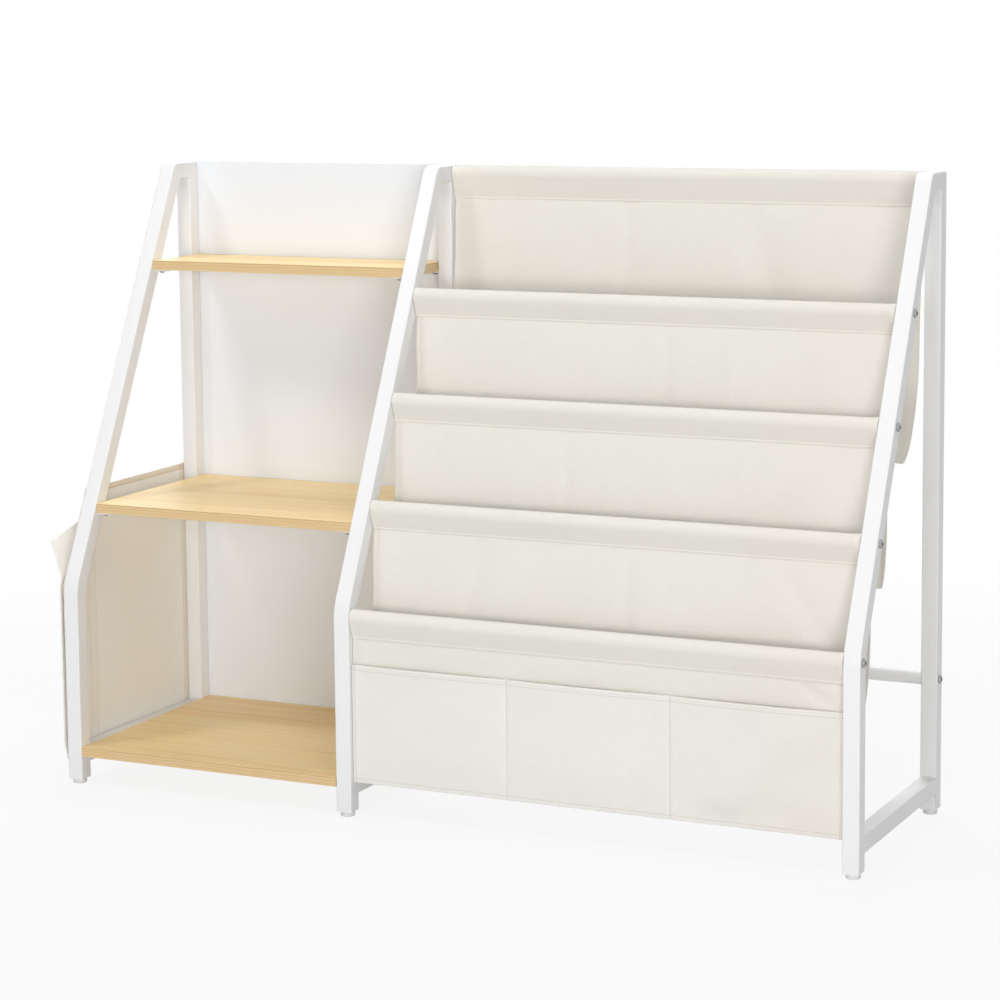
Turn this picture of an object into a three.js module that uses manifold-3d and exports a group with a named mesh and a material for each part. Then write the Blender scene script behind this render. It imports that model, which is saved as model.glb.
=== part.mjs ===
// Sling bookshelf for a child's room. Three painted tube frames carry a bay of three wooden shelves
// on the left and cloth slings on round rods on the right. A cloth bag hangs on the left side.
// Lengths are millimetres, +Z is up, +X runs to the right and the front faces -Y.
// Pieces are placed from the left, front, bottom corner of the frames.
// The whole is then centred on its footprint, with the floor at zero.

import * as THREE from 'three';
import { mergeVertices } from 'three/addons/utils/BufferGeometryUtils.js';
import Module from 'manifold-3d';

const wasm = await Module();
wasm.setup();

// Driving dimensions of the whole unit
const unitWidth = 1030;
const frameHeight = 760;
const frameDepth = 305;
const shelfBayWidth = 360;
const kneeHeight = 250;
const topRailLength = 55;
const bottomRailHeight = 26;
const footHeight = 6;

// Square tube of the frames
const tubeSize = 20;
const tubeWall = 1.5;
const tubeEdge = 1.5;
const kneeRadius = 14;
const topFrontRadius = 9;
const topRearRadius = 5;
const weldRadius = 3;

// Clearances shared by all pieces
const seatGap = 0.3;
const holeClearance = 0.35;
const cutOverrun = 2;

// Round rods and the rear crossbar
const rodRadius = 8;
const rodWall = 1.5;
const rodPlugLength = 14;
const rodPitch = 121.7;
const lowestRodHeight = 241;
const crossbarHeight = 163;
const stubLength = 14;

// Bolts that hold the rods
const boltRadius = 3;
const boltHeadRadius = 5.2;
const boltHeadHeight = 2.6;
const boltHeadRim = 0.8;
const boltEngagement = 11;
const socketRadius = 1.9;
const socketDepth = 1.5;

// Pan head screws of the shelves and the bag, flat head screws of the back panel
const screwRadius = 1.8;
const screwHeadRadius = 3.8;
const screwHeadHeight = 2.1;
const screwHeadRim = 0.7;
const flatHeadRim = 0.3;
const screwEngagement = 8;
const recessWidth = 1;
const recessLength = 4.4;
const recessDepth = 1;

// Wooden shelves, by the height of their top faces
const shelfThickness = 12;
const topShelfHeight = 639;
const middleShelfHeight = 347;
const bottomShelfHeight = 48;
const tabLength = 18;
const tabWidth = 12;
const tabThickness = 1.5;
const tabSetback = 3;
const bottomTabInset = 40;

// Back panel behind the shelf bay
const panelThickness = 3;
const panelScrewInset = 40;

// Sling cloth
const clothThickness = 1.6;
const sleeveClearance = 0.4;
const seamDrop = 24;
const seamHeight = 6;
const slingSideGap = 1;
const topPocketDrop = 177.5;
const pocketDrop = 186.5;

// Front curtain and its pocket strip
const curtainHemHeight = 42.5;
const stripTopHeight = 184.5;

// Side bag
const bagTopHeight = 363;
const bagBottomHeight = 30;
const bagFrontInset = 3;
const bagRearOverlap = 3;
const bagMouthHeight = 319;
const bagMouthRise = 22;
const bagMouthBulge = 30;
const bagCornerFlare = 34;
const bagCornerDrop = 23;
const bagGusset = 3.6;
const bagTabHeight = 26;
const bagTabInset = 12;
const bagTabReach = 17;

// Levelling feet
const footPadRadius = 8.5;
const footPadChamfer = 1;
const footStudLength = 20;
const nutRadius = 5;
const nutHeight = 7;

// Facet counts
const roundSides = 20;
const holeSides = 12;
const boltSides = 12;
const screwSides = 8;
const recessSides = 6;
const footSides = 16;
const filletSteps = 3;
const edgeSteps = 2;
const clothSteps = 10;
const sleeveSteps = 20;
const bagColumns = 16;
const bagRows = 12;

// Share of the bolt head's radius at which its crown turns flat
const boltCrownShare = 0.72;

// Shares of the distance between two rods that shape a hanging pocket
const upperPocketShares = { back: 0.755, low: 0.23, front: 0.14, backRound: 1.15, frontRound: 0.37 };
const lowerPocketShares = { back: 0.46, low: 0.17, front: 0.07, backRound: 1.3, frontRound: 0.3 };

// Share of a bend's reach at which its curve is pulled
const bendShare = 0.36;

// Shares of the bag's height and width over which its front gusset and its front corner stand open
const bagFlareStartShare = 0.79;
const bagFlareWidthShare = 0.62;
const bagGussetRiseShare = 0.07;
const bagGussetWidthShare = 0.4;

// Places that follow from the sizes
const leftFrameX = 0;
const middleFrameX = tubeSize + shelfBayWidth;
const rightFrameX = unitWidth - tubeSize;
const rearLegY = frameDepth - tubeSize / 2;
const topFrontY = frameDepth - topRailLength;
const slantRise = frameHeight - kneeHeight;
const slantSlope = topFrontY / slantRise;
const slantDepth = tubeSize * Math.hypot(topFrontY, slantRise) / slantRise;
const rodSpan = rightFrameX - middleFrameX - tubeSize;
const slingX = middleFrameX + tubeSize + slingSideGap;
const slingWidth = rodSpan - 2 * slingSideGap;
const sleeveInnerRadius = rodRadius + sleeveClearance;
const sleeveRadius = sleeveInnerRadius + clothThickness;

function frontFaceY(height) {
  return Math.max(0, (height - kneeHeight) * slantSlope);
}

function frontLegY(height) {
  return height > kneeHeight ? frontFaceY(height) + slantDepth / 2 : tubeSize / 2;
}

function slopedRod(step) {
  const height = lowestRodHeight + step * rodPitch;
  return { y: frontLegY(height), z: height };
}

const rods = [
  { y: rearLegY, z: frameHeight - tubeSize / 2 },
  slopedRod(3),
  slopedRod(2),
  slopedRod(1),
  slopedRod(0),
];
const crossbar = { y: rearLegY, z: crossbarHeight };

const shelves = [
  { name: 'top_shelf', top: topShelfHeight },
  { name: 'middle_shelf', top: middleShelfHeight },
  { name: 'bottom_shelf', top: bottomShelfHeight },
].map((shelf) => {
  const frontY = frontFaceY(shelf.top);
  const low = shelf.top - shelfThickness;
  const onRail = low < bottomRailHeight + tubeSize;
  const tabs = onRail ? [bottomTabInset, frameDepth - bottomTabInset] : [frontLegY(low) + tabSetback, rearLegY];
  return { ...shelf, frontY, low, tabs };
});

const panelBottom = bottomRailHeight;
const panelScrewHeights = [
  panelBottom + panelScrewInset,
  (panelBottom + frameHeight) / 2,
  frameHeight - panelScrewInset,
];
const bagScrewHeights = [bagBottomHeight + bagTabInset + tubeSize, bagTopHeight - bagTabInset];
const bagScrews = [
  { name: 'bag_screw_front_low', y: frontLegY(bagScrewHeights[0]), z: bagScrewHeights[0] },
  { name: 'bag_screw_front_high', y: frontLegY(bagScrewHeights[1]), z: bagScrewHeights[1] },
  { name: 'bag_screw_rear_low', y: rearLegY, z: bagScrewHeights[0] },
  { name: 'bag_screw_rear_high', y: rearLegY, z: bagScrewHeights[1] },
];

// Materials
function finish(colour, roughness, metalness) {
  return new THREE.MeshStandardMaterial({ color: colour, roughness, metalness });
}

const framePaint = finish(0xf2f2f2, 0.45, 0.1);
const boltSteel = finish(0xb9bcc0, 0.3, 0.9);
const shelfWood = finish(0xe6c48c, 0.55, 0);
const panelBoard = finish(0xf0f0f0, 0.6, 0);
const slingCloth = finish(0xe9e3d3, 0.95, 0);
const bagCloth = finish(0xe2d6c2, 0.95, 0);
const footPlastic = finish(0xececec, 0.6, 0);

// Solids and geometries
function solidOf(geometry) {
  const bare = geometry.clone();
  bare.deleteAttribute('normal');
  bare.deleteAttribute('uv');
  const merged = mergeVertices(bare);
  return new wasm.Manifold(new wasm.Mesh({
    numProp: 3,
    vertProperties: new Float32Array(merged.attributes.position.array),
    triVerts: new Uint32Array(merged.index.array),
  }));
}

function geometryOf(solid) {
  const mesh = solid.getMesh();
  const geometry = new THREE.BufferGeometry();
  geometry.setAttribute('position', new THREE.BufferAttribute(new Float32Array(mesh.vertProperties), 3));
  geometry.setIndex(new THREE.BufferAttribute(new Uint32Array(mesh.triVerts), 1));
  return geometry;
}

const bookshelf = new THREE.Group();

function addPiece(name, geometry, material, x = 0, y = 0, z = 0) {
  const mesh = new THREE.Mesh(geometry, material);
  mesh.name = name;
  mesh.position.set(x, y, z);
  bookshelf.add(mesh);
  return mesh;
}

// A side view outline, drawn in Y and Z, becomes a solid that runs along X
const sideView = new THREE.Matrix4().makeBasis(
  new THREE.Vector3(0, 1, 0),
  new THREE.Vector3(0, 0, 1),
  new THREE.Vector3(1, 0, 0),
);

function extrudeSide(shape, width, settings = {}) {
  const geometry = new THREE.ExtrudeGeometry(shape, { depth: width, bevelEnabled: false, ...settings });
  return geometry.applyMatrix4(sideView);
}

function cylinderX(radius, x0, x1, place, sides) {
  const geometry = new THREE.CylinderGeometry(radius, radius, x1 - x0, sides);
  geometry.rotateZ(Math.PI / 2);
  geometry.translate((x0 + x1) / 2, place.y, place.z);
  return solidOf(geometry);
}

function cylinderY(radius, y0, y1, x, z, sides) {
  const geometry = new THREE.CylinderGeometry(radius, radius, y1 - y0, sides);
  geometry.translate(x, (y0 + y1) / 2, z);
  return solidOf(geometry);
}

function cylinderZ(radius, z0, z1, x, y, sides) {
  const geometry = new THREE.CylinderGeometry(radius, radius, z1 - z0, sides);
  geometry.rotateX(Math.PI / 2);
  geometry.translate(x, y, (z0 + z1) / 2);
  return solidOf(geometry);
}

function block(x0, x1, y0, y1, z0, z1) {
  const geometry = new THREE.BoxGeometry(x1 - x0, y1 - y0, z1 - z0);
  geometry.translate((x0 + x1) / 2, (y0 + y1) / 2, (z0 + z1) / 2);
  return solidOf(geometry);
}

// Outlines
function corner(y, z, radius = 0) {
  return { point: new THREE.Vector2(y, z), radius };
}

function insetCorners(corners, distance) {
  return corners.map((here, index) => {
    const before = corners[(index + corners.length - 1) % corners.length].point;
    const after = corners[(index + 1) % corners.length].point;
    const sideIn = new THREE.Vector2(before.y - here.point.y, here.point.x - before.x).normalize();
    const sideOut = new THREE.Vector2(here.point.y - after.y, after.x - here.point.x).normalize();
    const reach = distance / (1 + sideIn.dot(sideOut));
    const moved = here.point.clone().addScaledVector(sideIn, reach).addScaledVector(sideOut, reach);
    return { point: moved, radius: here.radius };
  });
}

function traceLoop(path, corners) {
  corners.forEach((here, index) => {
    const before = corners[(index + corners.length - 1) % corners.length].point;
    const after = corners[(index + 1) % corners.length].point;
    const inward = before.clone().sub(here.point).normalize();
    const onward = after.clone().sub(here.point).normalize();
    const entry = here.point.clone().addScaledVector(inward, here.radius);
    const exit = here.point.clone().addScaledVector(onward, here.radius);
    if (index === 0) {
      path.moveTo(entry.x, entry.y);
    } else {
      path.lineTo(entry.x, entry.y);
    }
    if (here.radius > 0) {
      path.quadraticCurveTo(here.point.x, here.point.y, exit.x, exit.y);
    }
  });
  path.closePath();
  return path;
}

// Frame: a bent front leg, a rear leg and two short rails, welded from square tube
const legCorners = [
  corner(0, footHeight),
  corner(tubeSize, footHeight),
  corner(tubeSize, bottomRailHeight),
  corner(frameDepth - tubeSize, bottomRailHeight),
  corner(frameDepth - tubeSize, footHeight),
  corner(frameDepth, footHeight),
  corner(frameDepth, frameHeight, topRearRadius),
  corner(topFrontY, frameHeight, topFrontRadius),
  corner(0, kneeHeight, kneeRadius),
];
const ringCorners = [
  corner(0, bottomRailHeight, weldRadius),
  corner(frameDepth, bottomRailHeight, weldRadius),
  corner(frameDepth, frameHeight, weldRadius),
  corner(topFrontY, frameHeight, weldRadius),
  corner(0, kneeHeight, kneeRadius),
];

function tubeShape(inset) {
  const shape = traceLoop(new THREE.Shape(), insetCorners(legCorners, inset));
  shape.holes.push(traceLoop(new THREE.Path(), insetCorners(ringCorners, tubeSize - inset)));
  return shape;
}

function bareFrame() {
  const outer = extrudeSide(tubeShape(0), tubeSize - 2 * tubeEdge, {
    bevelEnabled: true,
    bevelThickness: tubeEdge,
    bevelSize: tubeEdge,
    bevelOffset: -tubeEdge,
    bevelSegments: edgeSteps,
    curveSegments: filletSteps,
  });
  outer.translate(tubeEdge, 0, 0);
  const inner = extrudeSide(tubeShape(tubeWall), tubeSize - 2 * tubeWall, { curveSegments: filletSteps });
  inner.translate(tubeWall, 0, 0);
  let frame = solidOf(outer).subtract(solidOf(inner));
  const plateTop = footHeight + tubeWall;
  const nutRoot = plateTop - tubeWall / 2;
  const nutTop = plateTop + nutHeight;
  const studX = tubeSize / 2;
  const studHoleRadius = boltRadius + holeClearance;
  for (const legY of [tubeSize / 2, rearLegY]) {
    frame = frame
      .add(cylinderZ(nutRadius, nutRoot, nutTop, studX, legY, recessSides))
      .subtract(cylinderZ(
        studHoleRadius,
        footHeight - cutOverrun,
        nutTop + cutOverrun,
        studX,
        legY,
        holeSides,
      ));
  }
  return frame;
}

function withRodHoles(frame) {
  return [...rods.slice(1), crossbar].reduce((solid, place) => solid.subtract(
    cylinderX(boltRadius + holeClearance, -cutOverrun, tubeSize + cutOverrun, place, holeSides),
  ), frame);
}

function withRodStub(frame, side) {
  const face = side > 0 ? tubeSize : 0;
  const root = face - side * tubeWall / 2;
  const tip = face + side * stubLength;
  const stubRadius = rodRadius - rodWall - holeClearance;
  return frame.add(cylinderX(stubRadius, Math.min(root, tip), Math.max(root, tip), rods[0], roundSides));
}

// Shelf tabs stand out of a frame under each shelf, side +1 to the right and -1 to the left
function withShelfTabs(frame, side) {
  const face = side > 0 ? tubeSize : 0;
  const root = face - side * tubeWall / 2;
  const tip = face + side * tabLength;
  const holeX = face + side * tabLength / 2;
  return shelves.reduce((solid, shelf) => {
    const top = shelf.low - seatGap;
    return shelf.tabs.reduce((work, tabY) => work
      .add(block(
        Math.min(root, tip),
        Math.max(root, tip),
        tabY - tabWidth / 2,
        tabY + tabWidth / 2,
        top - tabThickness,
        top,
      ))
      .subtract(cylinderZ(
        screwRadius + holeClearance,
        top - tabThickness - cutOverrun,
        top + cutOverrun,
        holeX,
        tabY,
        screwSides,
      )), solid);
  }, frame);
}

function withPanelHoles(frame) {
  return panelScrewHeights.reduce((solid, height) => solid.subtract(cylinderY(
    screwRadius + holeClearance,
    frameDepth - tubeWall - cutOverrun,
    frameDepth + cutOverrun,
    tubeSize / 2,
    height,
    screwSides,
  )), frame);
}

function withBagHoles(frame) {
  return bagScrews.reduce((solid, place) => solid.subtract(
    cylinderX(screwRadius + holeClearance, -cutOverrun, tubeWall + cutOverrun, place, screwSides),
  ), frame);
}

const leftFrame = withBagHoles(withPanelHoles(withShelfTabs(bareFrame(), 1)));
const middleFrame = withRodHoles(withRodStub(withPanelHoles(withShelfTabs(bareFrame(), -1)), 1));
const rightFrame = withRodHoles(withRodStub(bareFrame(), -1));
addPiece('left_frame', geometryOf(leftFrame), framePaint, leftFrameX);
addPiece('middle_frame', geometryOf(middleFrame), framePaint, middleFrameX);
addPiece('right_frame', geometryOf(rightFrame), framePaint, rightFrameX);

// Rods: the top one is an open tube on the frame stubs, the others have threaded end plugs
const rodLength = rodSpan - 2 * seatGap;
const axisPlace = { y: 0, z: 0 };

function openRod() {
  return cylinderX(rodRadius, 0, rodLength, axisPlace, roundSides)
    .subtract(cylinderX(rodRadius - rodWall, -cutOverrun, rodLength + cutOverrun, axisPlace, roundSides));
}

function pluggedRod() {
  const holeRadius = boltRadius + holeClearance;
  const hollowEnd = rodLength - rodPlugLength;
  return cylinderX(rodRadius, 0, rodLength, axisPlace, roundSides)
    .subtract(cylinderX(rodRadius - rodWall, rodPlugLength, hollowEnd, axisPlace, roundSides))
    .subtract(cylinderX(holeRadius, -cutOverrun, rodLength + cutOverrun, axisPlace, holeSides));
}

const rodStartX = middleFrameX + tubeSize + seatGap;
const pluggedRodGeometry = geometryOf(pluggedRod());
rods.forEach((place, index) => {
  const geometry = index === 0 ? geometryOf(openRod()) : pluggedRodGeometry;
  addPiece(`sling_rod_${index + 1}`, geometry, framePaint, rodStartX, place.y, place.z);
});
addPiece('rear_crossbar', pluggedRodGeometry, framePaint, rodStartX, crossbar.y, crossbar.z);

// Bolt with its head above zero and its shank pointing down
function buttonBolt() {
  const shankLength = tubeSize + 2 * seatGap + boltEngagement;
  const crown = new THREE.Vector2(boltHeadRadius * boltCrownShare, boltHeadHeight);
  const head = new THREE.QuadraticBezierCurve(
    new THREE.Vector2(boltHeadRadius, boltHeadRim),
    new THREE.Vector2(boltHeadRadius, boltHeadHeight),
    crown,
  ).getPoints(filletSteps);
  const profile = [
    new THREE.Vector2(0, -shankLength),
    new THREE.Vector2(boltRadius, -shankLength),
    new THREE.Vector2(boltRadius, 0),
    new THREE.Vector2(boltHeadRadius, 0),
    ...head,
    new THREE.Vector2(0, boltHeadHeight),
  ];
  const body = new THREE.LatheGeometry(profile, boltSides);
  const socket = new THREE.CylinderGeometry(
    socketRadius,
    socketRadius,
    socketDepth + cutOverrun,
    recessSides,
  );
  socket.translate(0, boltHeadHeight - socketDepth + (socketDepth + cutOverrun) / 2, 0);
  return geometryOf(solidOf(body).subtract(solidOf(socket)));
}

// Turned screw with a cross recess in the top of its head, shank pointing down
function crossScrew(profile, headTop) {
  const body = solidOf(new THREE.LatheGeometry(profile, screwSides));
  const cutHeight = recessDepth + cutOverrun;
  const cuts = [[recessLength, recessWidth], [recessWidth, recessLength]].map(([width, depth]) => {
    const cut = new THREE.BoxGeometry(width, cutHeight, depth);
    cut.translate(0, headTop - recessDepth + cutHeight / 2, 0);
    return solidOf(cut);
  });
  return geometryOf(cuts.reduce((solid, cut) => solid.subtract(cut), body));
}

// Pan head screw, with the seat of its head at zero
function panScrew(shankLength) {
  return crossScrew([
    new THREE.Vector2(0, -shankLength),
    new THREE.Vector2(screwRadius, -shankLength + screwRadius),
    new THREE.Vector2(screwRadius, 0),
    new THREE.Vector2(screwHeadRadius, 0),
    new THREE.Vector2(screwHeadRadius, screwHeadRim),
    new THREE.Vector2(screwHeadRadius - screwHeadRim, screwHeadHeight),
    new THREE.Vector2(0, screwHeadHeight),
  ], screwHeadHeight);
}

// Flat head screw, with the top of its head at zero and a cone of 45 degrees under it
const flatHeadCone = screwHeadRadius - screwRadius;

function flatScrew(length) {
  return crossScrew([
    new THREE.Vector2(0, -length),
    new THREE.Vector2(screwRadius, -length + screwRadius),
    new THREE.Vector2(screwRadius, -flatHeadRim - flatHeadCone),
    new THREE.Vector2(screwHeadRadius, -flatHeadRim),
    new THREE.Vector2(screwHeadRadius, 0),
    new THREE.Vector2(0, 0),
  ], 0);
}

const boltGeometry = buttonBolt();
const boltPlaces = [...rods.slice(1), crossbar];
const rightBoltX = unitWidth + seatGap;
const middleBoltX = middleFrameX - seatGap;
boltPlaces.forEach((place, index) => {
  const label = place === crossbar ? 'crossbar_bolt' : `rod_bolt_${index + 2}`;
  const right = addPiece(`right_${label}`, boltGeometry, boltSteel, rightBoltX, place.y, place.z);
  right.rotation.z = -Math.PI / 2;
  const middle = addPiece(`middle_${label}`, boltGeometry, boltSteel, middleBoltX, place.y, place.z);
  middle.rotation.z = Math.PI / 2;
});

// Shelves, each held down by four screws that come up through the frame tabs
const shelfX0 = leftFrameX + tubeSize + seatGap;
const shelfX1 = middleFrameX - seatGap;
const shelfRearY = frameDepth - seatGap;
const tabHoleXs = [leftFrameX + tubeSize + tabLength / 2, middleFrameX - tabLength / 2];
const shelfScrewGeometry = panScrew(tabThickness + 2 * seatGap + screwEngagement);
for (const shelf of shelves) {
  let board = block(shelfX0, shelfX1, shelf.frontY, shelfRearY, shelf.low, shelf.top);
  const seatZ = shelf.low - tabThickness - 2 * seatGap;
  let count = 0;
  for (const holeX of tabHoleXs) {
    for (const holeY of shelf.tabs) {
      count += 1;
      board = board.subtract(cylinderZ(
        screwRadius + holeClearance,
        shelf.low - cutOverrun,
        shelf.low + screwEngagement + holeClearance,
        holeX,
        holeY,
        screwSides,
      ));
      const name = `${shelf.name}_screw_${count}`;
      const screw = addPiece(name, shelfScrewGeometry, boltSteel, holeX, holeY, seatZ);
      screw.rotation.x = -Math.PI / 2;
    }
  }
  addPiece(shelf.name, geometryOf(board), shelfWood);
}

// Back panel over the rear legs of the left and middle frames, with countersunk holes
const panelY0 = frameDepth + seatGap;
const panelY1 = panelY0 + panelThickness;
const panelX1 = middleFrameX + tubeSize;
const panelScrewXs = [leftFrameX + tubeSize / 2, middleFrameX + tubeSize / 2];
const panelScrewGeometry = flatScrew(panelThickness + screwEngagement);
const sinkTop = screwHeadRadius + holeClearance;
const sinkBottom = screwRadius + holeClearance;
const sinkEdge = -seatGap - flatHeadRim;

function countersink(x, z) {
  const geometry = new THREE.LatheGeometry([
    new THREE.Vector2(0, sinkEdge - flatHeadCone),
    new THREE.Vector2(sinkBottom, sinkEdge - flatHeadCone),
    new THREE.Vector2(sinkTop, sinkEdge),
    new THREE.Vector2(sinkTop, cutOverrun),
    new THREE.Vector2(0, cutOverrun),
  ], screwSides);
  return solidOf(geometry.translate(x, panelY1, z));
}

let panelBoardSolid = block(leftFrameX, panelX1, panelY0, panelY1, panelBottom, frameHeight);
let panelScrewCount = 0;
for (const screwX of panelScrewXs) {
  for (const screwZ of panelScrewHeights) {
    panelScrewCount += 1;
    panelBoardSolid = panelBoardSolid
      .subtract(countersink(screwX, screwZ))
      .subtract(cylinderY(
        sinkBottom,
        panelY0 - cutOverrun,
        panelY1,
        screwX,
        screwZ,
        screwSides,
      ));
    addPiece(
      `back_panel_screw_${panelScrewCount}`,
      panelScrewGeometry,
      boltSteel,
      screwX,
      panelY1 - seatGap,
      screwZ,
    );
  }
}
addPiece('back_panel', geometryOf(panelBoardSolid), panelBoard);

// Cloth: a drop shaped sleeve round a rod, sewn shut under it
function tangentAngle(radius, halfWidth, drop) {
  return Math.acos(radius / Math.hypot(halfWidth, drop)) - Math.atan2(drop, halfWidth);
}

function dropLoop(path, rod, radius, angle, halfWidth, drop) {
  path.moveTo(rod.y + halfWidth, rod.z - drop);
  path.lineTo(rod.y + radius * Math.cos(angle), rod.z + radius * Math.sin(angle));
  path.absarc(rod.y, rod.z, radius, angle, Math.PI - angle, false);
  path.lineTo(rod.y - halfWidth, rod.z - drop);
  path.closePath();
  return path;
}

function sleeveSolid(rod) {
  const angle = tangentAngle(sleeveRadius, clothThickness, seamDrop);
  const innerDrop = -sleeveInnerRadius / Math.sin(angle);
  const shape = dropLoop(new THREE.Shape(), rod, sleeveRadius, angle, clothThickness, seamDrop);
  shape.holes.push(dropLoop(new THREE.Path(), rod, sleeveInnerRadius, angle, 0, innerDrop));
  const ring = solidOf(extrudeSide(shape, slingWidth, { curveSegments: sleeveSteps }));
  const seamMiddle = rod.z - seamDrop;
  const seam = block(
    0,
    slingWidth,
    rod.y - clothThickness,
    rod.y + clothThickness,
    seamMiddle - seamHeight / 2,
    seamMiddle + seamHeight / 2,
  );
  return ring.add(seam);
}

// Cloth band along a side view curve
function bandSolid(points) {
  const half = clothThickness / 2;
  const sides = points.map((point, index) => {
    const before = points[Math.max(index - 1, 0)];
    const after = points[Math.min(index + 1, points.length - 1)];
    const along = after.clone().sub(before).normalize();
    return new THREE.Vector2(-along.y, along.x).multiplyScalar(half);
  });
  const outer = points.map((point, index) => point.clone().add(sides[index]));
  const inner = points.map((point, index) => point.clone().sub(sides[index]));
  const shape = new THREE.Shape([...outer, ...inner.reverse()]);
  return solidOf(extrudeSide(shape, slingWidth));
}

// Pocket: down behind, round the low bend and up to the seam under the next rod
function pocketPoints(rod, nextRod, drop, shares) {
  const spread = rod.y - nextRod.y;
  const bottom = nextRod.z - drop + clothThickness / 2;
  const start = new THREE.Vector2(rod.y, rod.z - seamDrop);
  const back = new THREE.Vector2(nextRod.y + spread * shares.back, bottom + spread * shares.backRound);
  const low = new THREE.Vector2(nextRod.y + spread * shares.low, bottom);
  const front = new THREE.Vector2(nextRod.y + spread * shares.front, bottom + spread * shares.frontRound);
  const seamFace = clothThickness + seatGap;
  const end = new THREE.Vector2(nextRod.y + seamFace + clothThickness / 2, nextRod.z - seamDrop);
  const path = new THREE.Path();
  path.moveTo(start.x, start.y);
  path.quadraticCurveTo(back.x, (start.y + back.y) / 2, back.x, back.y);
  path.bezierCurveTo(
    back.x,
    THREE.MathUtils.lerp(low.y, back.y, bendShare),
    THREE.MathUtils.lerp(back.x, low.x, 1 - bendShare),
    low.y,
    low.x,
    low.y,
  );
  path.bezierCurveTo(
    THREE.MathUtils.lerp(low.x, front.x, 1 - bendShare),
    low.y,
    front.x,
    THREE.MathUtils.lerp(low.y, front.y, bendShare),
    front.x,
    front.y,
  );
  path.quadraticCurveTo(front.x, (front.y + end.y) / 2, end.x, end.y);
  return path.getPoints(clothSteps);
}

rods.slice(0, -1).forEach((rod, index) => {
  const upper = index === 0;
  const points = pocketPoints(
    rod,
    rods[index + 1],
    upper ? topPocketDrop : pocketDrop,
    upper ? upperPocketShares : lowerPocketShares,
  );
  const sling = sleeveSolid(rod).add(bandSolid(points));
  addPiece(`sling_${index + 1}`, geometryOf(sling), slingCloth, slingX);
});

// Front curtain on the lowest rod and the strip of three flat pockets sewn onto it
const lowestRod = rods[rods.length - 1];
const curtain = sleeveSolid(lowestRod).add(bandSolid([
  new THREE.Vector2(lowestRod.y, lowestRod.z - seamDrop),
  new THREE.Vector2(lowestRod.y, curtainHemHeight),
]));
addPiece('front_curtain', geometryOf(curtain), slingCloth, slingX);
const stripRearY = lowestRod.y - clothThickness / 2 - seatGap;
addPiece('front_pocket_strip', geometryOf(block(
  0,
  slingWidth,
  stripRearY - clothThickness,
  stripRearY,
  curtainHemHeight,
  stripTopHeight,
)), slingCloth, slingX);

// Side bag: a flat panel on the left frame with ears over the rear leg, and an outer pocket
const bagRearY = frameDepth - tubeSize + bagRearOverlap;
const bagPanelX = leftFrameX - seatGap;

function bagPanelSolid() {
  const outline = [
    corner(bagFrontInset, bagBottomHeight),
    corner(bagRearY, bagBottomHeight),
    corner(bagRearY, bagTopHeight),
    corner(frontFaceY(bagTopHeight) + bagFrontInset, bagTopHeight),
    corner(bagFrontInset, kneeHeight),
  ];
  const shape = traceLoop(new THREE.Shape(), outline);
  const panel = solidOf(extrudeSide(shape, clothThickness).translate(bagPanelX - clothThickness, 0, 0));
  const ears = bagScrewHeights.map((height) => block(
    bagPanelX - clothThickness,
    bagPanelX,
    bagRearY - clothThickness,
    frameDepth - tubeSize + bagTabReach,
    height - bagTabHeight / 2,
    height + bagTabHeight / 2,
  ));
  const holes = bagScrews.map((place) => cylinderX(
    screwRadius + holeClearance,
    bagPanelX - clothThickness - cutOverrun,
    bagPanelX + cutOverrun,
    place,
    screwSides,
  ));
  const eared = ears.reduce((solid, ear) => solid.add(ear), panel);
  return holes.reduce((solid, hole) => solid.subtract(hole), eared);
}

// Outer pocket: sewn flat at its rear and bottom, with a front gusset over the screw heads,
// standing open at its mouth and front corner
function bagPocketPoint(column, row, depth) {
  const across = column / bagColumns;
  const up = row / bagRows;
  const mouth = bagMouthHeight + across * bagMouthRise;
  const z = THREE.MathUtils.lerp(bagBottomHeight, mouth, up);
  const frontY = frontFaceY(z) + bagFrontInset;
  const y = THREE.MathUtils.lerp(frontY, bagRearY, across);
  const belly = bagMouthBulge * Math.sin(Math.PI * across) * up * up;
  const opening = Math.max(0, (up - bagFlareStartShare) / (1 - bagFlareStartShare));
  const fold = opening * Math.max(0, 1 - across / bagFlareWidthShare) ** 2;
  const flare = bagCornerFlare * fold;
  const gussetRise = THREE.MathUtils.smoothstep(up, 0, bagGussetRiseShare);
  const gusset = bagGusset * gussetRise * (1 - THREE.MathUtils.smoothstep(across, 0, bagGussetWidthShare));
  const x = bagPanelX - clothThickness - seatGap - belly - flare - gusset - depth;
  return [x, y, z - bagCornerDrop * fold];
}

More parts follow.
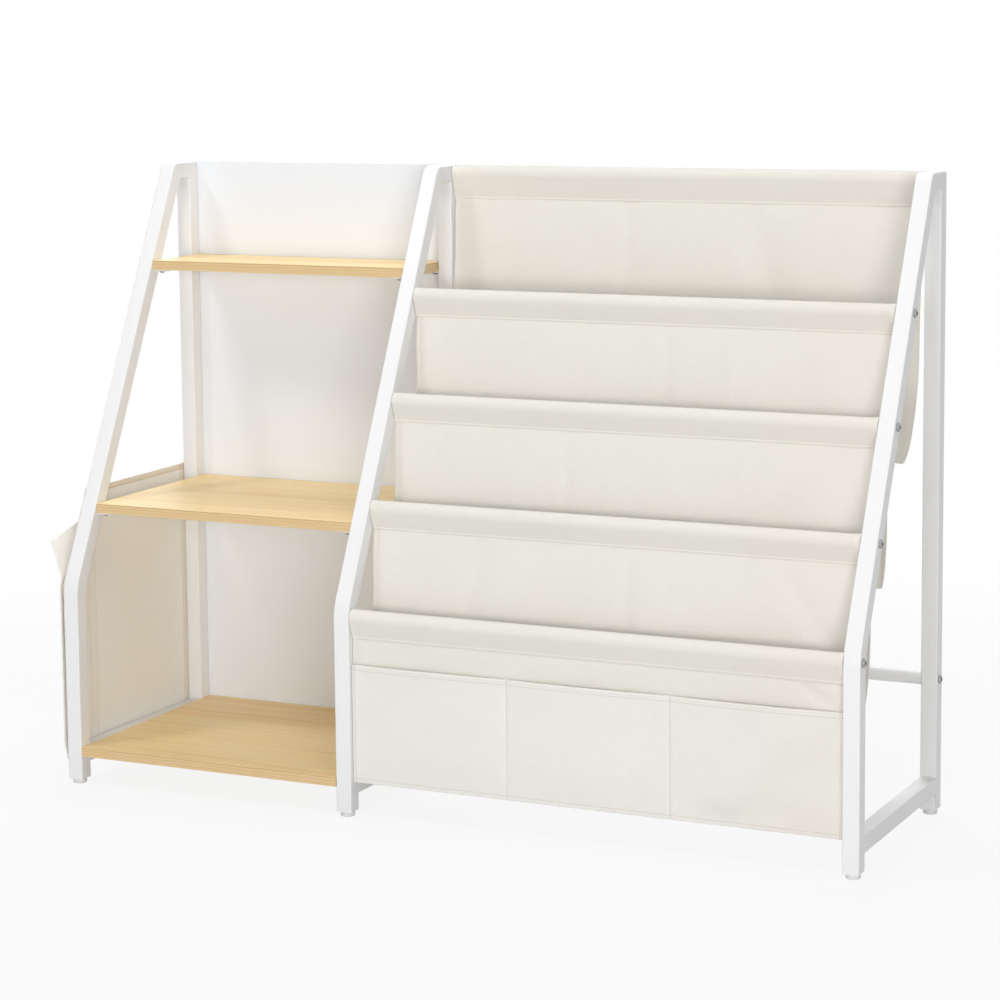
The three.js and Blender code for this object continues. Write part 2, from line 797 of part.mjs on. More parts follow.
function bagPocketGeometry() {
  const positions = [];
  const index = [];
  const rowSize = bagColumns + 1;
  const layerSize = rowSize * (bagRows + 1);
  for (const depth of [clothThickness, 0]) {
    for (let row = 0; row <= bagRows; row += 1) {
      for (let column = 0; column <= bagColumns; column += 1) {
        positions.push(...bagPocketPoint(column, row, depth));
      }
    }
  }
  const quad = (a, b, c, d) => index.push(a, b, c, a, c, d);
  for (let row = 0; row < bagRows; row += 1) {
    for (let column = 0; column < bagColumns; column += 1) {
      const a = row * rowSize + column;
      quad(a, a + rowSize, a + rowSize + 1, a + 1);
      const b = a + layerSize;
      quad(b, b + 1, b + rowSize + 1, b + rowSize);
    }
  }
  for (let column = 0; column < bagColumns; column += 1) {
    const low = column;
    quad(low, low + 1, low + 1 + layerSize, low + layerSize);
    const high = bagRows * rowSize + column;
    quad(high, high + layerSize, high + 1 + layerSize, high + 1);
  }
  for (let row = 0; row < bagRows; row += 1) {
    const front = row * rowSize;
    quad(front, front + layerSize, front + layerSize + rowSize, front + rowSize);
    const rear = front + bagColumns;
    quad(rear, rear + rowSize, rear + rowSize + layerSize, rear + layerSize);
  }
  const geometry = new THREE.BufferGeometry();
  geometry.setAttribute('position', new THREE.BufferAttribute(new Float32Array(positions), 3));
  geometry.setIndex(index);
  return geometry;
}

addPiece('side_bag_panel', geometryOf(bagPanelSolid()), bagCloth);
addPiece('side_bag_pocket', bagPocketGeometry(), bagCloth);
const bagScrewGeometry = panScrew(clothThickness + 2 * seatGap + screwEngagement);
const bagScrewX = bagPanelX - clothThickness - seatGap;
for (const place of bagScrews) {
  const screw = addPiece(place.name, bagScrewGeometry, boltSteel, bagScrewX, place.y, place.z);
  screw.rotation.z = Math.PI / 2;
}

// Levelling feet: a round pad on a stud that screws into the nut welded in each leg
function footGeometry() {
  const padTop = footHeight - seatGap;
  const profile = [
    new THREE.Vector2(0, 0),
    new THREE.Vector2(footPadRadius - footPadChamfer, 0),
    new THREE.Vector2(footPadRadius, footPadChamfer),
    new THREE.Vector2(footPadRadius, padTop - footPadChamfer),
    new THREE.Vector2(footPadRadius - footPadChamfer, padTop),
    new THREE.Vector2(boltRadius, padTop),
    new THREE.Vector2(boltRadius, padTop + footStudLength),
    new THREE.Vector2(0, padTop + footStudLength),
  ];
  return new THREE.LatheGeometry(profile, footSides).rotateX(Math.PI / 2);
}

const foot = footGeometry();
for (const [side, frameX] of [['left', leftFrameX], ['middle', middleFrameX], ['right', rightFrameX]]) {
  addPiece(`${side}_front_foot`, foot, footPlastic, frameX + tubeSize / 2, tubeSize / 2);
  addPiece(`${side}_rear_foot`, foot, footPlastic, frameX + tubeSize / 2, rearLegY);
}

// Origin at the middle of the footprint, on the floor
const reach = new THREE.Box3().setFromObject(bookshelf, true);
bookshelf.position.set(-(reach.min.x + reach.max.x) / 2, -(reach.min.y + reach.max.y) / 2, 0);

export default bookshelf;
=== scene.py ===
import math

import bmesh
import bpy
import numpy as np
from mathutils import Matrix, Vector, noise


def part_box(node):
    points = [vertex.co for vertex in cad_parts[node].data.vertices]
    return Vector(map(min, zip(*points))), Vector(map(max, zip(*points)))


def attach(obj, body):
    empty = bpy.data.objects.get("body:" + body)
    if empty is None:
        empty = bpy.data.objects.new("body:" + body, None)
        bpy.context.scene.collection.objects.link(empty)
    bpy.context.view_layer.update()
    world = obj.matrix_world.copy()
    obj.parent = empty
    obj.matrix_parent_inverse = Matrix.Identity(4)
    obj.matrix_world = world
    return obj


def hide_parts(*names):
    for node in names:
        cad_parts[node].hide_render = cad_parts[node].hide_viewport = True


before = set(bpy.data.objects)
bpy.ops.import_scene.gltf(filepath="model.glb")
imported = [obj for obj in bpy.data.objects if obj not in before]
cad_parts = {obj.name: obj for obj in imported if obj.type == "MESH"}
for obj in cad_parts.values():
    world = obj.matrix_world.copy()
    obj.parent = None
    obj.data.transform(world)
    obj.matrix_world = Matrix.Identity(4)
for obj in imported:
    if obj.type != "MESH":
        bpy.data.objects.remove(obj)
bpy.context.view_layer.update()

mm = 0.001
frameSides = ("left", "middle", "right")
levels = ("top", "middle", "bottom")

# Where the unit's own corner is: left face of the left frame, front face of the front legs, floor
unitLeft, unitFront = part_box("left_frame")[0].xy


def linked(thing):
    bpy.context.scene.collection.objects.link(thing)
    return thing


def newObject(name, mesh):
    return linked(bpy.data.objects.new(name, mesh))


# Adds a node to any tree: its settings first, then the values or links of its inputs
def addNode(tree, kind, settings=None, values=None):
    made = tree.nodes.new(kind)
    for key, value in (settings or {}).items():
        setattr(made, key, value)
    for key, value in (values or {}).items():
        value = getattr(value, "socket", value)
        if isinstance(value, bpy.types.NodeSocket):
            tree.links.new(value, made.inputs[key])
        else:
            made.inputs[key].default_value = value
    return made.outputs


# A value in a shader that takes part in plain arithmetic
class Wire:
    def __init__(self, paint, socket):
        self.paint = paint
        self.socket = socket

    def maths(self, operation, *others, flipped=False):
        values = [*others, self] if flipped else [self, *others]
        return self.paint.node("ShaderNodeMath", {"operation": operation}, dict(enumerate(values)))

    def __add__(self, other):
        return self.maths("ADD", other)

    def __sub__(self, other):
        return self.maths("SUBTRACT", other)

    def __rsub__(self, other):
        return self.maths("SUBTRACT", other, flipped=True)

    def __mul__(self, other):
        return self.maths("MULTIPLY", other)

    def __truediv__(self, other):
        return self.maths("DIVIDE", other)

    def __rtruediv__(self, other):
        return self.maths("DIVIDE", other, flipped=True)

    def __pow__(self, other):
        return self.maths("POWER", other)

    def __gt__(self, other):
        return self.maths("GREATER_THAN", other)

    def __lt__(self, other):
        return self.maths("LESS_THAN", other)

    def __abs__(self):
        return self.maths("ABSOLUTE")

    __radd__ = __add__
    __rmul__ = __mul__

    def sine(self):
        return self.maths("SINE")

    def highest(self, other):
        return self.maths("MAXIMUM", other)

    def lowest(self, other):
        return self.maths("MINIMUM", other)

    # 1 at the centre value, falling to 0 over the width to each side
    def band(self, centre, width):
        return (1 - abs(self - centre) / width).highest(0)

    # 0 below the first value, 1 above the second, smooth between
    def rise(self, low, high):
        return self.paint.node(
            "ShaderNodeMapRange",
            {"interpolation_type": "SMOOTHSTEP"},
            {"Value": self, "From Min": low, "From Max": high},
        )


# One shader tree, with one way to add any node
class Shading:
    def __init__(self, tree):
        self.tree = tree

    def node(self, kind, settings=None, values=None, out=0):
        return Wire(self, addNode(self.tree, kind, settings, values)[out])

    def place(self):
        return self.node("ShaderNodeTexCoord", out="Object")

    def told(self, attribute):
        return self.node("ShaderNodeAttribute", {"attribute_name": attribute}, out="Fac")

    def split(self, vector):
        return [self.node("ShaderNodeSeparateXYZ", None, {0: vector}, axis) for axis in range(3)]

    def join(self, x, y, z):
        return self.node("ShaderNodeCombineXYZ", None, {0: x, 1: y, 2: z})

    # Noise with so many clouds per metre, or so many along each axis
    def clouds(self, vector, perMetre, detail=2.0, roughness=0.5):
        if isinstance(perMetre, tuple):
            vector = self.node("ShaderNodeMapping", None, {"Vector": vector, "Scale": perMetre})
            perMetre = 1
        return self.node("ShaderNodeTexNoise", None, {
            "Vector": vector, "Scale": perMetre, "Detail": detail, "Roughness": roughness,
        })

    def mix(self, share, first, second):
        return self.node("ShaderNodeMix", {"data_type": "RGBA"}, {0: share, 6: first, 7: second}, 2)

    # Mixes two surfaces by a share and sends the result to the tree's output
    def blendOut(self, share, first, second, output):
        mixed = self.node("ShaderNodeMixShader", None, {0: share, 1: first, 2: second})
        self.tree.links.new(mixed.socket, output.inputs["Surface"])


# One material, with its Principled shader
class Paint(Shading):
    def __init__(self, name, **fixed):
        self.material = bpy.data.materials.new(name)
        self.material.use_nodes = True
        super().__init__(self.material.node_tree)
        self.shader = self.tree.nodes["Principled BSDF"]
        for socket, value in fixed.items():
            self.shader.inputs[socket.replace("_", " ")].default_value = value

    def feed(self, socket, wire):
        self.tree.links.new(wire.socket, self.shader.inputs[socket])

    # Feeds the colour and the bumps, which nearly every material ends with
    def finish(self, colour, height, depth, strength=1.0):
        self.feed("Base Color", colour)
        self.feed("Normal", self.node("ShaderNodeBump", None, {
            "Height": height, "Distance": depth, "Strength": strength,
        }))
        return self.material


# A colour typed as it looks on screen, 0 to 255, for a shader's linear sockets
def screenColour(*parts):
    shares = [part / 255 for part in parts]
    return (*(share / 12.92 if share <= 0.04045 else ((share + 0.055) / 1.055) ** 2.4 for share in shares), 1)


# White powder coat with a fine orange peel, and white laminated board with a faint tooth
coatLook = {
    "colour": screenColour(241, 241, 241), "shade": screenColour(236, 236, 237),
    "lacquer": 0.15, "lacquerRoughness": 0.3,
    "cloudPerMetre": 6, "cloudDetail": 2, "toothPerMetre": 900, "toothDetail": 1, "toothDepth": 0.00006,
    "roughness": 0.36, "roughnessSpread": 0.12,
}
boardLook = {
    "colour": screenColour(240, 244, 250), "shade": screenColour(235, 239, 245),
    "lacquer": 0, "lacquerRoughness": 0.3,
    "cloudPerMetre": 3, "cloudDetail": 3, "toothPerMetre": 1500, "toothDetail": 2, "toothDepth": 0.00004,
    "roughness": 0.52, "roughnessSpread": 0.14,
}


def whiteFinish(name, look):
    paint = Paint(name, Coat_Weight=look["lacquer"], Coat_Roughness=look["lacquerRoughness"])
    place = paint.place()
    cloud = paint.clouds(place, look["cloudPerMetre"], look["cloudDetail"])
    tooth = paint.clouds(place, look["toothPerMetre"], look["toothDetail"])
    paint.feed("Roughness", look["roughness"] + cloud * look["roughnessSpread"])
    return paint.finish(paint.mix(cloud, look["colour"], look["shade"]), tooth, look["toothDepth"])


# Zinc plated steel with fine turning marks, with painted shade in the sockets of its heads, which are also made dull
steelLook = {
    # The socket colour is painted shade for the hollows of the heads
    "colour": screenColour(178, 180, 184), "dark": screenColour(132, 134, 138), "socket": screenColour(38, 38, 40),
    "markPerMetre": (2600, 2600, 650), "markDepth": 0.00004, "metallic": 0.9, "socketMetallic": 0.1,
    "roughness": 0.24, "markRoughness": 0.2, "socketRoughness": 0.5,
}


def zincSteel():
    look = steelLook
    paint = Paint("zinc_steel")
    mark = paint.clouds(paint.place(), look["markPerMetre"], 3)
    metal = paint.mix(mark, look["dark"], look["colour"])
    # Painted shade in the heads' sockets: a near black colour there, rough and hardly metallic
    socketShade = paint.told("socket")
    paint.feed("Roughness", look["roughness"] + mark * look["markRoughness"] + socketShade * look["socketRoughness"])
    paint.feed("Metallic", look["metallic"] - socketShade * (look["metallic"] - look["socketMetallic"]))
    return paint.finish(paint.mix(socketShade, metal, look["socket"]), mark, look["markDepth"])


# Pale oak laminate: grain along X, banded edges with darker plies
oakLook = {
    "light": screenColour(255, 234, 178), "dark": screenColour(248, 202, 126),
    "streak": screenColour(220, 168, 94), "edge": screenColour(224, 197, 150),
    "edgeLine": screenColour(158, 118, 72), "lacquer": 0.3, "lacquerRoughness": 0.25,
    "bandPerMetre": (1.1, 26, 26), "linePerMetre": (2.4, 130, 130), "fibrePerMetre": (7, 620, 620),
    "fleckPerMetre": (26, 900, 900), "swayPerMetre": (2.2, 3.5, 3.5), "sway": 0.05,
    "bandShare": 0.42, "lineShare": 0.3, "fibreShare": 0.4, "paler": 0.08,
    "streakShare": 0.22, "fleckShare": 0.16, "edgeStreakShare": 0.45, "fibreDepth": 0.00007,
    "linesDeep": [0.0012, 0.0048, 0.0084], "lineStrength": [0.8, 0.4, 0.3], "lineWidth": 0.0005,
    "plyWave": 0.003, "plyWavePerMetre": (14, 30, 1), "edgeFibrePerMetre": (12, 900, 1), "edgeBelow": 0.6,
    "bandRise": (0.3, 0.72), "lineRise": (0.34, 0.74), "fleckRise": (0.58, 0.74), "edgeRise": (0.3, 0.8),
    "fibreHeight": 0.6, "fleckHeight": -0.4, "roughness": 0.42, "roughnessSpread": 0.14,
}


def paleOak():
    look = oakLook
    paint = Paint("pale_oak", Coat_Weight=look["lacquer"], Coat_Roughness=look["lacquerRoughness"])
    place = paint.place()
    x, y, z = paint.split(place)
    sway = (paint.clouds(place, look["swayPerMetre"]) - 0.5) * look["sway"]
    bent = paint.join(x, y + sway, z)
    band = paint.clouds(bent, look["bandPerMetre"], 3, 0.55).rise(*look["bandRise"])
    line = paint.clouds(bent, look["linePerMetre"], 3, 0.6).rise(*look["lineRise"])
    fibre = paint.clouds(bent, look["fibrePerMetre"], 4, 0.6)
    fleck = paint.clouds(bent, look["fleckPerMetre"]).rise(*look["fleckRise"])
    grain = band * look["bandShare"] + line * look["lineShare"] + fibre * look["fibreShare"] - look["paler"]
    face = paint.mix(grain.highest(0).lowest(1), look["light"], look["dark"])
    face = paint.mix(line * band * look["streakShare"] + fleck * look["fleckShare"], face, look["streak"])

    # Edges: plies as wavy lines under the top face, by the depth below it
    alongEdge = paint.join(x + y, z, 0)
    wave = paint.clouds(alongEdge, look["plyWavePerMetre"], 3) - 0.5
    wavyDepth = paint.told("depth") + wave * look["plyWave"]
    lines = 0
    for deep, strength in zip(look["linesDeep"], look["lineStrength"]):
        lines = wavyDepth.band(deep, look["lineWidth"]) * strength + lines
    edgeFibre = paint.clouds(alongEdge, look["edgeFibrePerMetre"], 3).rise(*look["edgeRise"])
    edge = paint.mix(edgeFibre * look["edgeStreakShare"], look["edge"], look["streak"])
    edge = paint.mix(lines.lowest(1), edge, look["edgeLine"])
    normal = paint.split(paint.node("ShaderNodeNewGeometry", out="Normal"))[2]
    paint.feed("Roughness", look["roughness"] + fibre * look["roughnessSpread"])
    height = fibre * look["fibreHeight"] + fleck * look["fleckHeight"]
    return paint.finish(paint.mix(abs(normal) < look["edgeBelow"], face, edge), height, look["fibreDepth"])


# Canvas: a plain weave of slubby threads, on the cloth's own flat lengths
canvasLook = {
    "threadPitch": 0.0007, "threadDepth": 0.00016, "slubDepth": 0.0003, "mark": screenColour(214, 190, 152),
    "driftPerMetre": (60, 60, 1), "drift": 0.6, "warpSlubPerMetre": (1400, 45, 1), "weftSlubPerMetre": (45, 1400, 1),
    "cloudPerMetre": (7, 9, 1), "blotPerMetre": (2.5, 3, 1), "cloudShare": 0.7, "slubShare": 0.9, "weaveShare": 0.12,
    "blotRise": (0.4, 0.7), "blotShare": 0.5, "bump": 0.7, "roughness": 0.86, "slubRoughness": 0.1,
    "sheen": 0.9, "sheenRoughness": 0.4,
}


def canvas(name, colour, shade, warm, marks=None):
    look = canvasLook
    paint = Paint(name, Sheen_Weight=look["sheen"], Sheen_Roughness=look["sheenRoughness"])
    flat = paint.node("ShaderNodeUVMap", {"uv_map": "flat"})
    u, v = paint.split(flat)[:2]
    turn = math.pi / look["threadPitch"]
    drift = paint.clouds(flat, look["driftPerMetre"], 1) * look["drift"]
    weave = (u * turn + drift).sine() * (v * turn + drift).sine()
    slub = paint.clouds(flat, look["warpSlubPerMetre"]) + paint.clouds(flat, look["weftSlubPerMetre"]) - 1
    cloud = paint.clouds(flat, look["cloudPerMetre"], 3)
    blot = paint.clouds(flat, look["blotPerMetre"]).rise(*look["blotRise"])
    tone = (cloud * look["cloudShare"] + slub * look["slubShare"] + weave * look["weaveShare"]).highest(0).lowest(1)
    base = paint.mix(blot * look["blotShare"], paint.mix(tone, colour, shade), warm)
    # Marks, where given, are mixed towards the tan mark colour; on the bag panel some of them are painted shade
    if marks:
        base = paint.mix(marks(u, v).lowest(1), base, look["mark"])
    paint.feed("Roughness", look["roughness"] + slub * look["slubRoughness"])
    return paint.finish(base, weave * look["threadDepth"] + slub * look["slubDepth"], 1.0, look["bump"])


# Sewing thread, twisted
threadFinish = {"twistPerMetre": 2200, "twistDepth": 0.00005, "roughness": 0.6, "sheen": 0.2}


def sewingThread(name, colour, dark):
    paint = Paint(name, Roughness=threadFinish["roughness"], Sheen_Weight=threadFinish["sheen"])
    twist = paint.clouds(paint.place(), threadFinish["twistPerMetre"], 1)
    return paint.finish(paint.mix(twist, dark, colour), twist, threadFinish["twistDepth"])


# Moulded pads of the feet, a little scuffed
plasticLook = {
    "colour": screenColour(236, 236, 236), "scuff": screenColour(205, 204, 202), "scuffPerMetre": 90, "scuffShare": 0.4,
    "scuffRise": (0.55, 0.8), "grainPerMetre": 1800, "grainDepth": 0.00005, "roughness": 0.42, "roughnessSpread": 0.2,
}


def mouldedPlastic():
    look = plasticLook
    paint = Paint("moulded_plastic")
    place = paint.place()
    grain = paint.clouds(place, look["grainPerMetre"])
    scuff = paint.clouds(place, look["scuffPerMetre"], 3).rise(*look["scuffRise"])
    paint.feed("Roughness", look["roughness"] + grain * look["roughnessSpread"])
    return paint.finish(paint.mix(scuff * look["scuffShare"], look["colour"], look["scuff"]), grain, look["grainDepth"])


# Cloths as colour, shade and warm blots, threads as light and dark
clothColours = {
    "sling_canvas": ((239, 236, 227), (232, 228, 217), (237, 231, 220)),
    "strip_canvas": ((243, 241, 236), (235, 232, 226), (233, 226, 211)),
    "bag_canvas": ((252, 250, 243), (246, 243, 234), (249, 244, 234)),
    "bag_binding_canvas": ((232, 214, 184), (220, 200, 166), (226, 208, 174)),
    "sling_thread": ((255, 253, 247), (246, 241, 228)),
    "strip_thread": ((196, 184, 160), (178, 166, 144)),
    "bag_thread": ((206, 184, 146), (190, 168, 132)),
}


def clothPaint(name, maker, *more, coloursOf=None):
    return maker(name, *(screenColour(*colour) for colour in clothColours[coloursOf or name]), *more)


coat, board = whiteFinish("powder_coat", coatLook), whiteFinish("white_board", boardLook)
steel, oak, plastic = zincSteel(), paleOak(), mouldedPlastic()
slingCanvas, stripCanvas = clothPaint("sling_canvas", canvas), clothPaint("strip_canvas", canvas)
bagCanvas, bagTan = clothPaint("bag_canvas", canvas), clothPaint("bag_binding_canvas", canvas)
slingThread = clothPaint("sling_thread", sewingThread)
stripThread = clothPaint("strip_thread", sewingThread)
bagThread = clothPaint("bag_thread", sewingThread)
print("materials made")


# One Geometry Nodes tree with named inputs
class Recipe:
    def __init__(self, name, inputs):
        self.tree = bpy.data.node_groups.new(name, "GeometryNodeTree")
        face = self.tree.interface
        for label, kind in {"Geometry": "Geometry", **inputs}.items():
            face.new_socket(label, in_out="INPUT", socket_type="NodeSocket" + kind)
        face.new_socket("Geometry", in_out="OUTPUT", socket_type="NodeSocketGeometry")
        self.given = self.tree.nodes.new("NodeGroupInput").outputs
        self.exit = self.tree.nodes.new("NodeGroupOutput")

    def node(self, kind, settings=None, values=None, out=0):
        return addNode(self.tree, kind, settings, values)[out]

    # Every tree ends as plain smooth mesh with its material
    def close(self, geometry, material):
        real = self.node("GeometryNodeRealizeInstances", None, {0: geometry})
        smooth = self.node("GeometryNodeSetShadeSmooth", None, {0: real})
        painted = self.node("GeometryNodeSetMaterial", None, {0: smooth, "Material": material})
        self.tree.links.new(painted, self.exit.inputs[0])
        return self.tree


# Runs a tree on a seed mesh and keeps the result as a plain mesh
def grown(name, seedMesh, tree, values):
    piece = newObject(name, seedMesh)
    modifier = piece.modifiers.new("grow", "NODES")
    modifier.node_group = tree
    for item in tree.interface.items_tree:
        if item.in_out == "INPUT" and item.name in values:
            modifier[item.identifier] = values[item.name]
    bpy.context.view_layer.update()
    evaluated = piece.evaluated_get(bpy.context.evaluated_depsgraph_get())
    mesh = bpy.data.meshes.new_from_object(evaluated)
    piece.modifiers.remove(modifier)
    piece.data = mesh
    return piece


# Stitches: short grains of thread along the seed's lines, each turned a little
def stitchTree():
    recipe = Recipe("stitches", {
        "Pitch": "Float", "Length": "Float", "Radius": "Float",
        "Wobble": "Float", "Seed": "Int", "Thread": "Material",
    })
    given = recipe.given
    line = recipe.node("GeometryNodeMeshToCurve", None, {0: given["Geometry"]})
    points = addNode(recipe.tree, "GeometryNodeCurveToPoints", {"mode": "LENGTH"},
                     {"Curve": line, "Length": given["Pitch"]})
    grain = recipe.node("GeometryNodeMeshUVSphere", None, {"Segments": 6, "Rings": 3, "Radius": 1.0})
    half = recipe.node("ShaderNodeMath", {"operation": "MULTIPLY"}, {0: given["Length"], 1: 0.5})
    size = recipe.node("ShaderNodeCombineXYZ", None, {0: given["Radius"], 1: given["Radius"], 2: half})
    grains = recipe.node("GeometryNodeInstanceOnPoints", None, {
        "Points": points["Points"], "Instance": grain, "Rotation": points["Rotation"], "Scale": size,
    })
    low = recipe.node("ShaderNodeMath", {"operation": "MULTIPLY"}, {0: given["Wobble"], 1: -1.0})
    turn = recipe.node("FunctionNodeRandomValue", {"data_type": "FLOAT_VECTOR"}, {
        "Min": recipe.node("ShaderNodeCombineXYZ", None, {0: low, 1: low}),
        "Max": recipe.node("ShaderNodeCombineXYZ", None, {0: given["Wobble"], 1: given["Wobble"]}),
        "Seed": given["Seed"],
    })
    turned = recipe.node("GeometryNodeRotateInstances", None, {"Instances": grains, "Rotation": turn})
    return recipe.close(turned, given["Thread"])


# Fasteners: one model set on each seed point, its head along the point's aim, turned at random
def fastenerTree():
    recipe = Recipe("fasteners", {"Model": "Object", "Seed": "Int", "Metal": "Material"})
    given = recipe.given
    model = recipe.node("GeometryNodeObjectInfo", None, {"Object": given["Model"], "As Instance": True}, "Geometry")
    aim = recipe.node("GeometryNodeInputNamedAttribute", {"data_type": "FLOAT_VECTOR"}, {"Name": "aim"})
    turn = recipe.node("FunctionNodeAlignRotationToVector", {"axis": "Z"}, {"Vector": aim})
    heads = recipe.node("GeometryNodeInstanceOnPoints", None, {
        "Points": given["Geometry"], "Instance": model, "Rotation": turn,
    })
    angle = recipe.node("FunctionNodeRandomValue", {"data_type": "FLOAT"}, {
        "Min": 0.0, "Max": math.tau, "Seed": given["Seed"],
    }, 1)
    spin = recipe.node("ShaderNodeCombineXYZ", None, {2: angle})
    spun = recipe.node("GeometryNodeRotateInstances", None, {"Instances": heads, "Rotation": spin})
    return recipe.close(spun, given["Metal"])


stitches, fasteners = stitchTree(), fastenerTree()


# Puts a finished piece on its body, in the place of CAD nodes
def settle(piece, body, slot, *nodes):
    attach(piece, body)
    if nodes:
        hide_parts(*nodes)
    return piece


# Smooth across soft angles, crisp over hard ones, with flat faces kept flat
def shadeCleanly(piece, angleDegrees):
    work = bmesh.new()
    work.from_mesh(piece.data)
    limit = math.radians(angleDegrees)
    for edge in work.edges:
        edge.smooth = len(edge.link_faces) == 2 and edge.calc_face_angle(0) < limit
    for face in work.faces:
        face.smooth = True
    work.to_mesh(piece.data)
    work.free()
    piece.modifiers.new("flat faces", "WEIGHTED_NORMAL").keep_sharp = True


# A merged copy of a CAD node that can take rounded edges and smooth shading
polishLook = {
    "mergeWithin": 0.02 * mm, "flatWithin": math.radians(0.3), "smoothAngle": 48,
    "bevelSegments": 3, "bevelAngle": math.radians(50), "shelfEdge": 0.5 * mm, "panelEdge": 0.3 * mm,
}


def polished(node, name, material, slot, roundEdge=0.0):
    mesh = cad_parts[node].data.copy()
    mesh.name = name
    mesh.materials.clear()
    mesh.materials.append(material)
    work = bmesh.new()
    work.from_mesh(mesh)
    bmesh.ops.remove_doubles(work, verts=work.verts, dist=polishLook["mergeWithin"])
    bmesh.ops.dissolve_limit(work, angle_limit=polishLook["flatWithin"], verts=work.verts, edges=work.edges)
    bmesh.ops.recalc_face_normals(work, faces=work.faces)
    work.to_mesh(mesh)
    work.free()
    piece = newObject(name, mesh)
    if roundEdge:
        bevel = piece.modifiers.new("soft edge", "BEVEL")
        bevel.width, bevel.segments = roundEdge, polishLook["bevelSegments"]
        bevel.limit_method, bevel.angle_limit = "ANGLE", polishLook["bevelAngle"]
    shadeCleanly(piece, polishLook["smoothAngle"])
    return settle(piece, "bookshelf", slot, node)


# Tells each point of a mesh a number that its material reads
def tell(mesh, attribute, values):
    mesh.attributes.new(attribute, "FLOAT", "POINT").data.foreach_set("value", values)


for side in frameSides:
    polished(side + "_frame", side + "_frame_tube", coat, "frame_paint")
print("frames dressed")

# The shelves' points are told how deep they lie below the top face
for level in levels:
    node = level + "_shelf"
    shelf = polished(node, level + "_board", oak, "shelf_wood", polishLook["shelfEdge"]).data
    tell(shelf, "depth", [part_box(node)[1].z - point.co.z for point in shelf.vertices])
polished("back_panel", "back_board", board, "panel_board", polishLook["panelEdge"])
print("boards dressed")


# Turns a side profile of (radius, height) points about Z into a solid, capped at its ends or looped on itself.
# A point's third entry, where it has one, is an outline that its ring follows instead of a circle
def turnedMesh(name, profile, sides, material, looped=False):
    work = bmesh.new()
    rings = []
    for radius, height, *outline in profile:
        ring = []
        for step in range(sides):
            angle = math.tau * step / sides
            reach = outline[0](angle, radius) if outline else radius
            ring.append(work.verts.new((reach * math.cos(angle), reach * math.sin(angle), height)))
        rings.append(ring)
    for lower, upper in zip(rings, rings[1:] + (rings[:1] if looped else [])):
        for step in range(sides):
            after = (step + 1) % sides
            work.faces.new((lower[step], lower[after], upper[after], upper[step]))
    if not looped:
        work.faces.new(rings[0][::-1])
        work.faces.new(rings[-1])
    bmesh.ops.recalc_face_normals(work, faces=work.faces)
    mesh = bpy.data.meshes.new(name)
    work.to_mesh(mesh)
    work.free()
    mesh.materials.append(material)
    return mesh


# A hexagon or a cross as its reach from the centre at an angle
def hexagon(angle, radius):
    turn = (angle % (math.pi / 3)) - math.pi / 6
    return radius * math.cos(math.pi / 6) / math.cos(turn)


def cross(angle, radius):
    other, along = sorted((abs(math.cos(angle)), abs(math.sin(angle))))
    return min(radius / along, radius * fastenerLook["crossWidthShare"] / max(other, 0.01))


# Screw thread as ridges up the shank, from the bottom
def threadRidges(radius, top, bottom, pitch, cut):
    ridges = []
    for turn in reversed(range(int((top - bottom) / pitch))):
        height = top - turn * pitch
        ridges += [(radius - cut, height - pitch * 0.65), (radius, height - pitch * 0.15)]
    return ridges


fastenerLook = {
    "sides": 48, "boltHead": 5.2 * mm, "boltRise": 2.6 * mm, "boltShank": 3.0 * mm, "boltLength": 31.2 * mm,
    "hexSocket": 2.4 * mm, "socketDepth": 2.0 * mm, "crossSocket": 2.2 * mm, "crossWidthShare": 0.23,
    "screwHead": 3.8 * mm, "screwRise": 2.1 * mm, "screwShank": 1.8 * mm, "screwLength": 10.4 * mm,
    "flatCone": 2.0 * mm, "flatRim": 0.3 * mm, "flatLength": 10.8 * mm,
    "pitch": 1.0 * mm, "threadCut": 0.35 * mm,
}


# The points of a head's socket are told so, and the steel paints shade there
def fastenerModel(name, profile, socket, floor, top):
    mesh = turnedMesh(name, profile, fastenerLook["sides"], steel)
    tell(mesh, "socket", [
        float(point.co.xy.length < socket * 1.02 and floor < point.co.z < top) for point in mesh.vertices
    ])
    return newObject(name, mesh)


def buttonBoltModel():
    look = fastenerLook
    head, rise, socket, shank = look["boltHead"], look["boltRise"], look["hexSocket"], look["boltShank"]
    floor = rise - look["socketDepth"]
    profile = [(shank * 0.6, -look["boltLength"] - 0.3 * mm)]
    profile += threadRidges(shank, -14 * mm, -look["boltLength"], look["pitch"], look["threadCut"])
    profile += [(shank, -13 * mm), (shank, 0), (head * 0.97, 0), (head, 0.3 * mm)]
    for step in range(7):
        angle = math.radians(8 + 58 * step / 6)
        profile.append((head * math.cos(angle), rise * (0.2 + 0.87 * math.sin(angle))))
    for share, height in ((1.08, rise), (1, rise - 0.12 * mm), (0.99, rise - 0.3 * mm), (0.98, floor)):
        profile.append((socket * share, height, hexagon))
    profile.append((0.3 * mm, floor - 0.25 * mm))
    return fastenerModel("bolt_model", profile, socket, floor - 0.4 * mm, rise - 0.2 * mm)


# Either screw: its head's outer profile on a threaded shank, and a cross socket in the head's top
def crossScrewModel(name, length, neck, plain, head, top, lip):
    look = fastenerLook
    shank, socket = look["screwShank"], look["crossSocket"]
    profile = [(0.15 * mm, -length)]
    profile += threadRidges(shank, neck - plain, 2 * mm - length, look["pitch"], look["threadCut"])
    profile += [(shank, neck), *head, (socket * 1.06, lip[0], cross), (socket, lip[1], cross)]
    profile += [(socket * 0.45, top - 1.0 * mm, cross), (0.1 * mm, top - 1.15 * mm)]
    return fastenerModel(name, profile, socket, top - 1.3 * mm, top - 0.5 * mm)


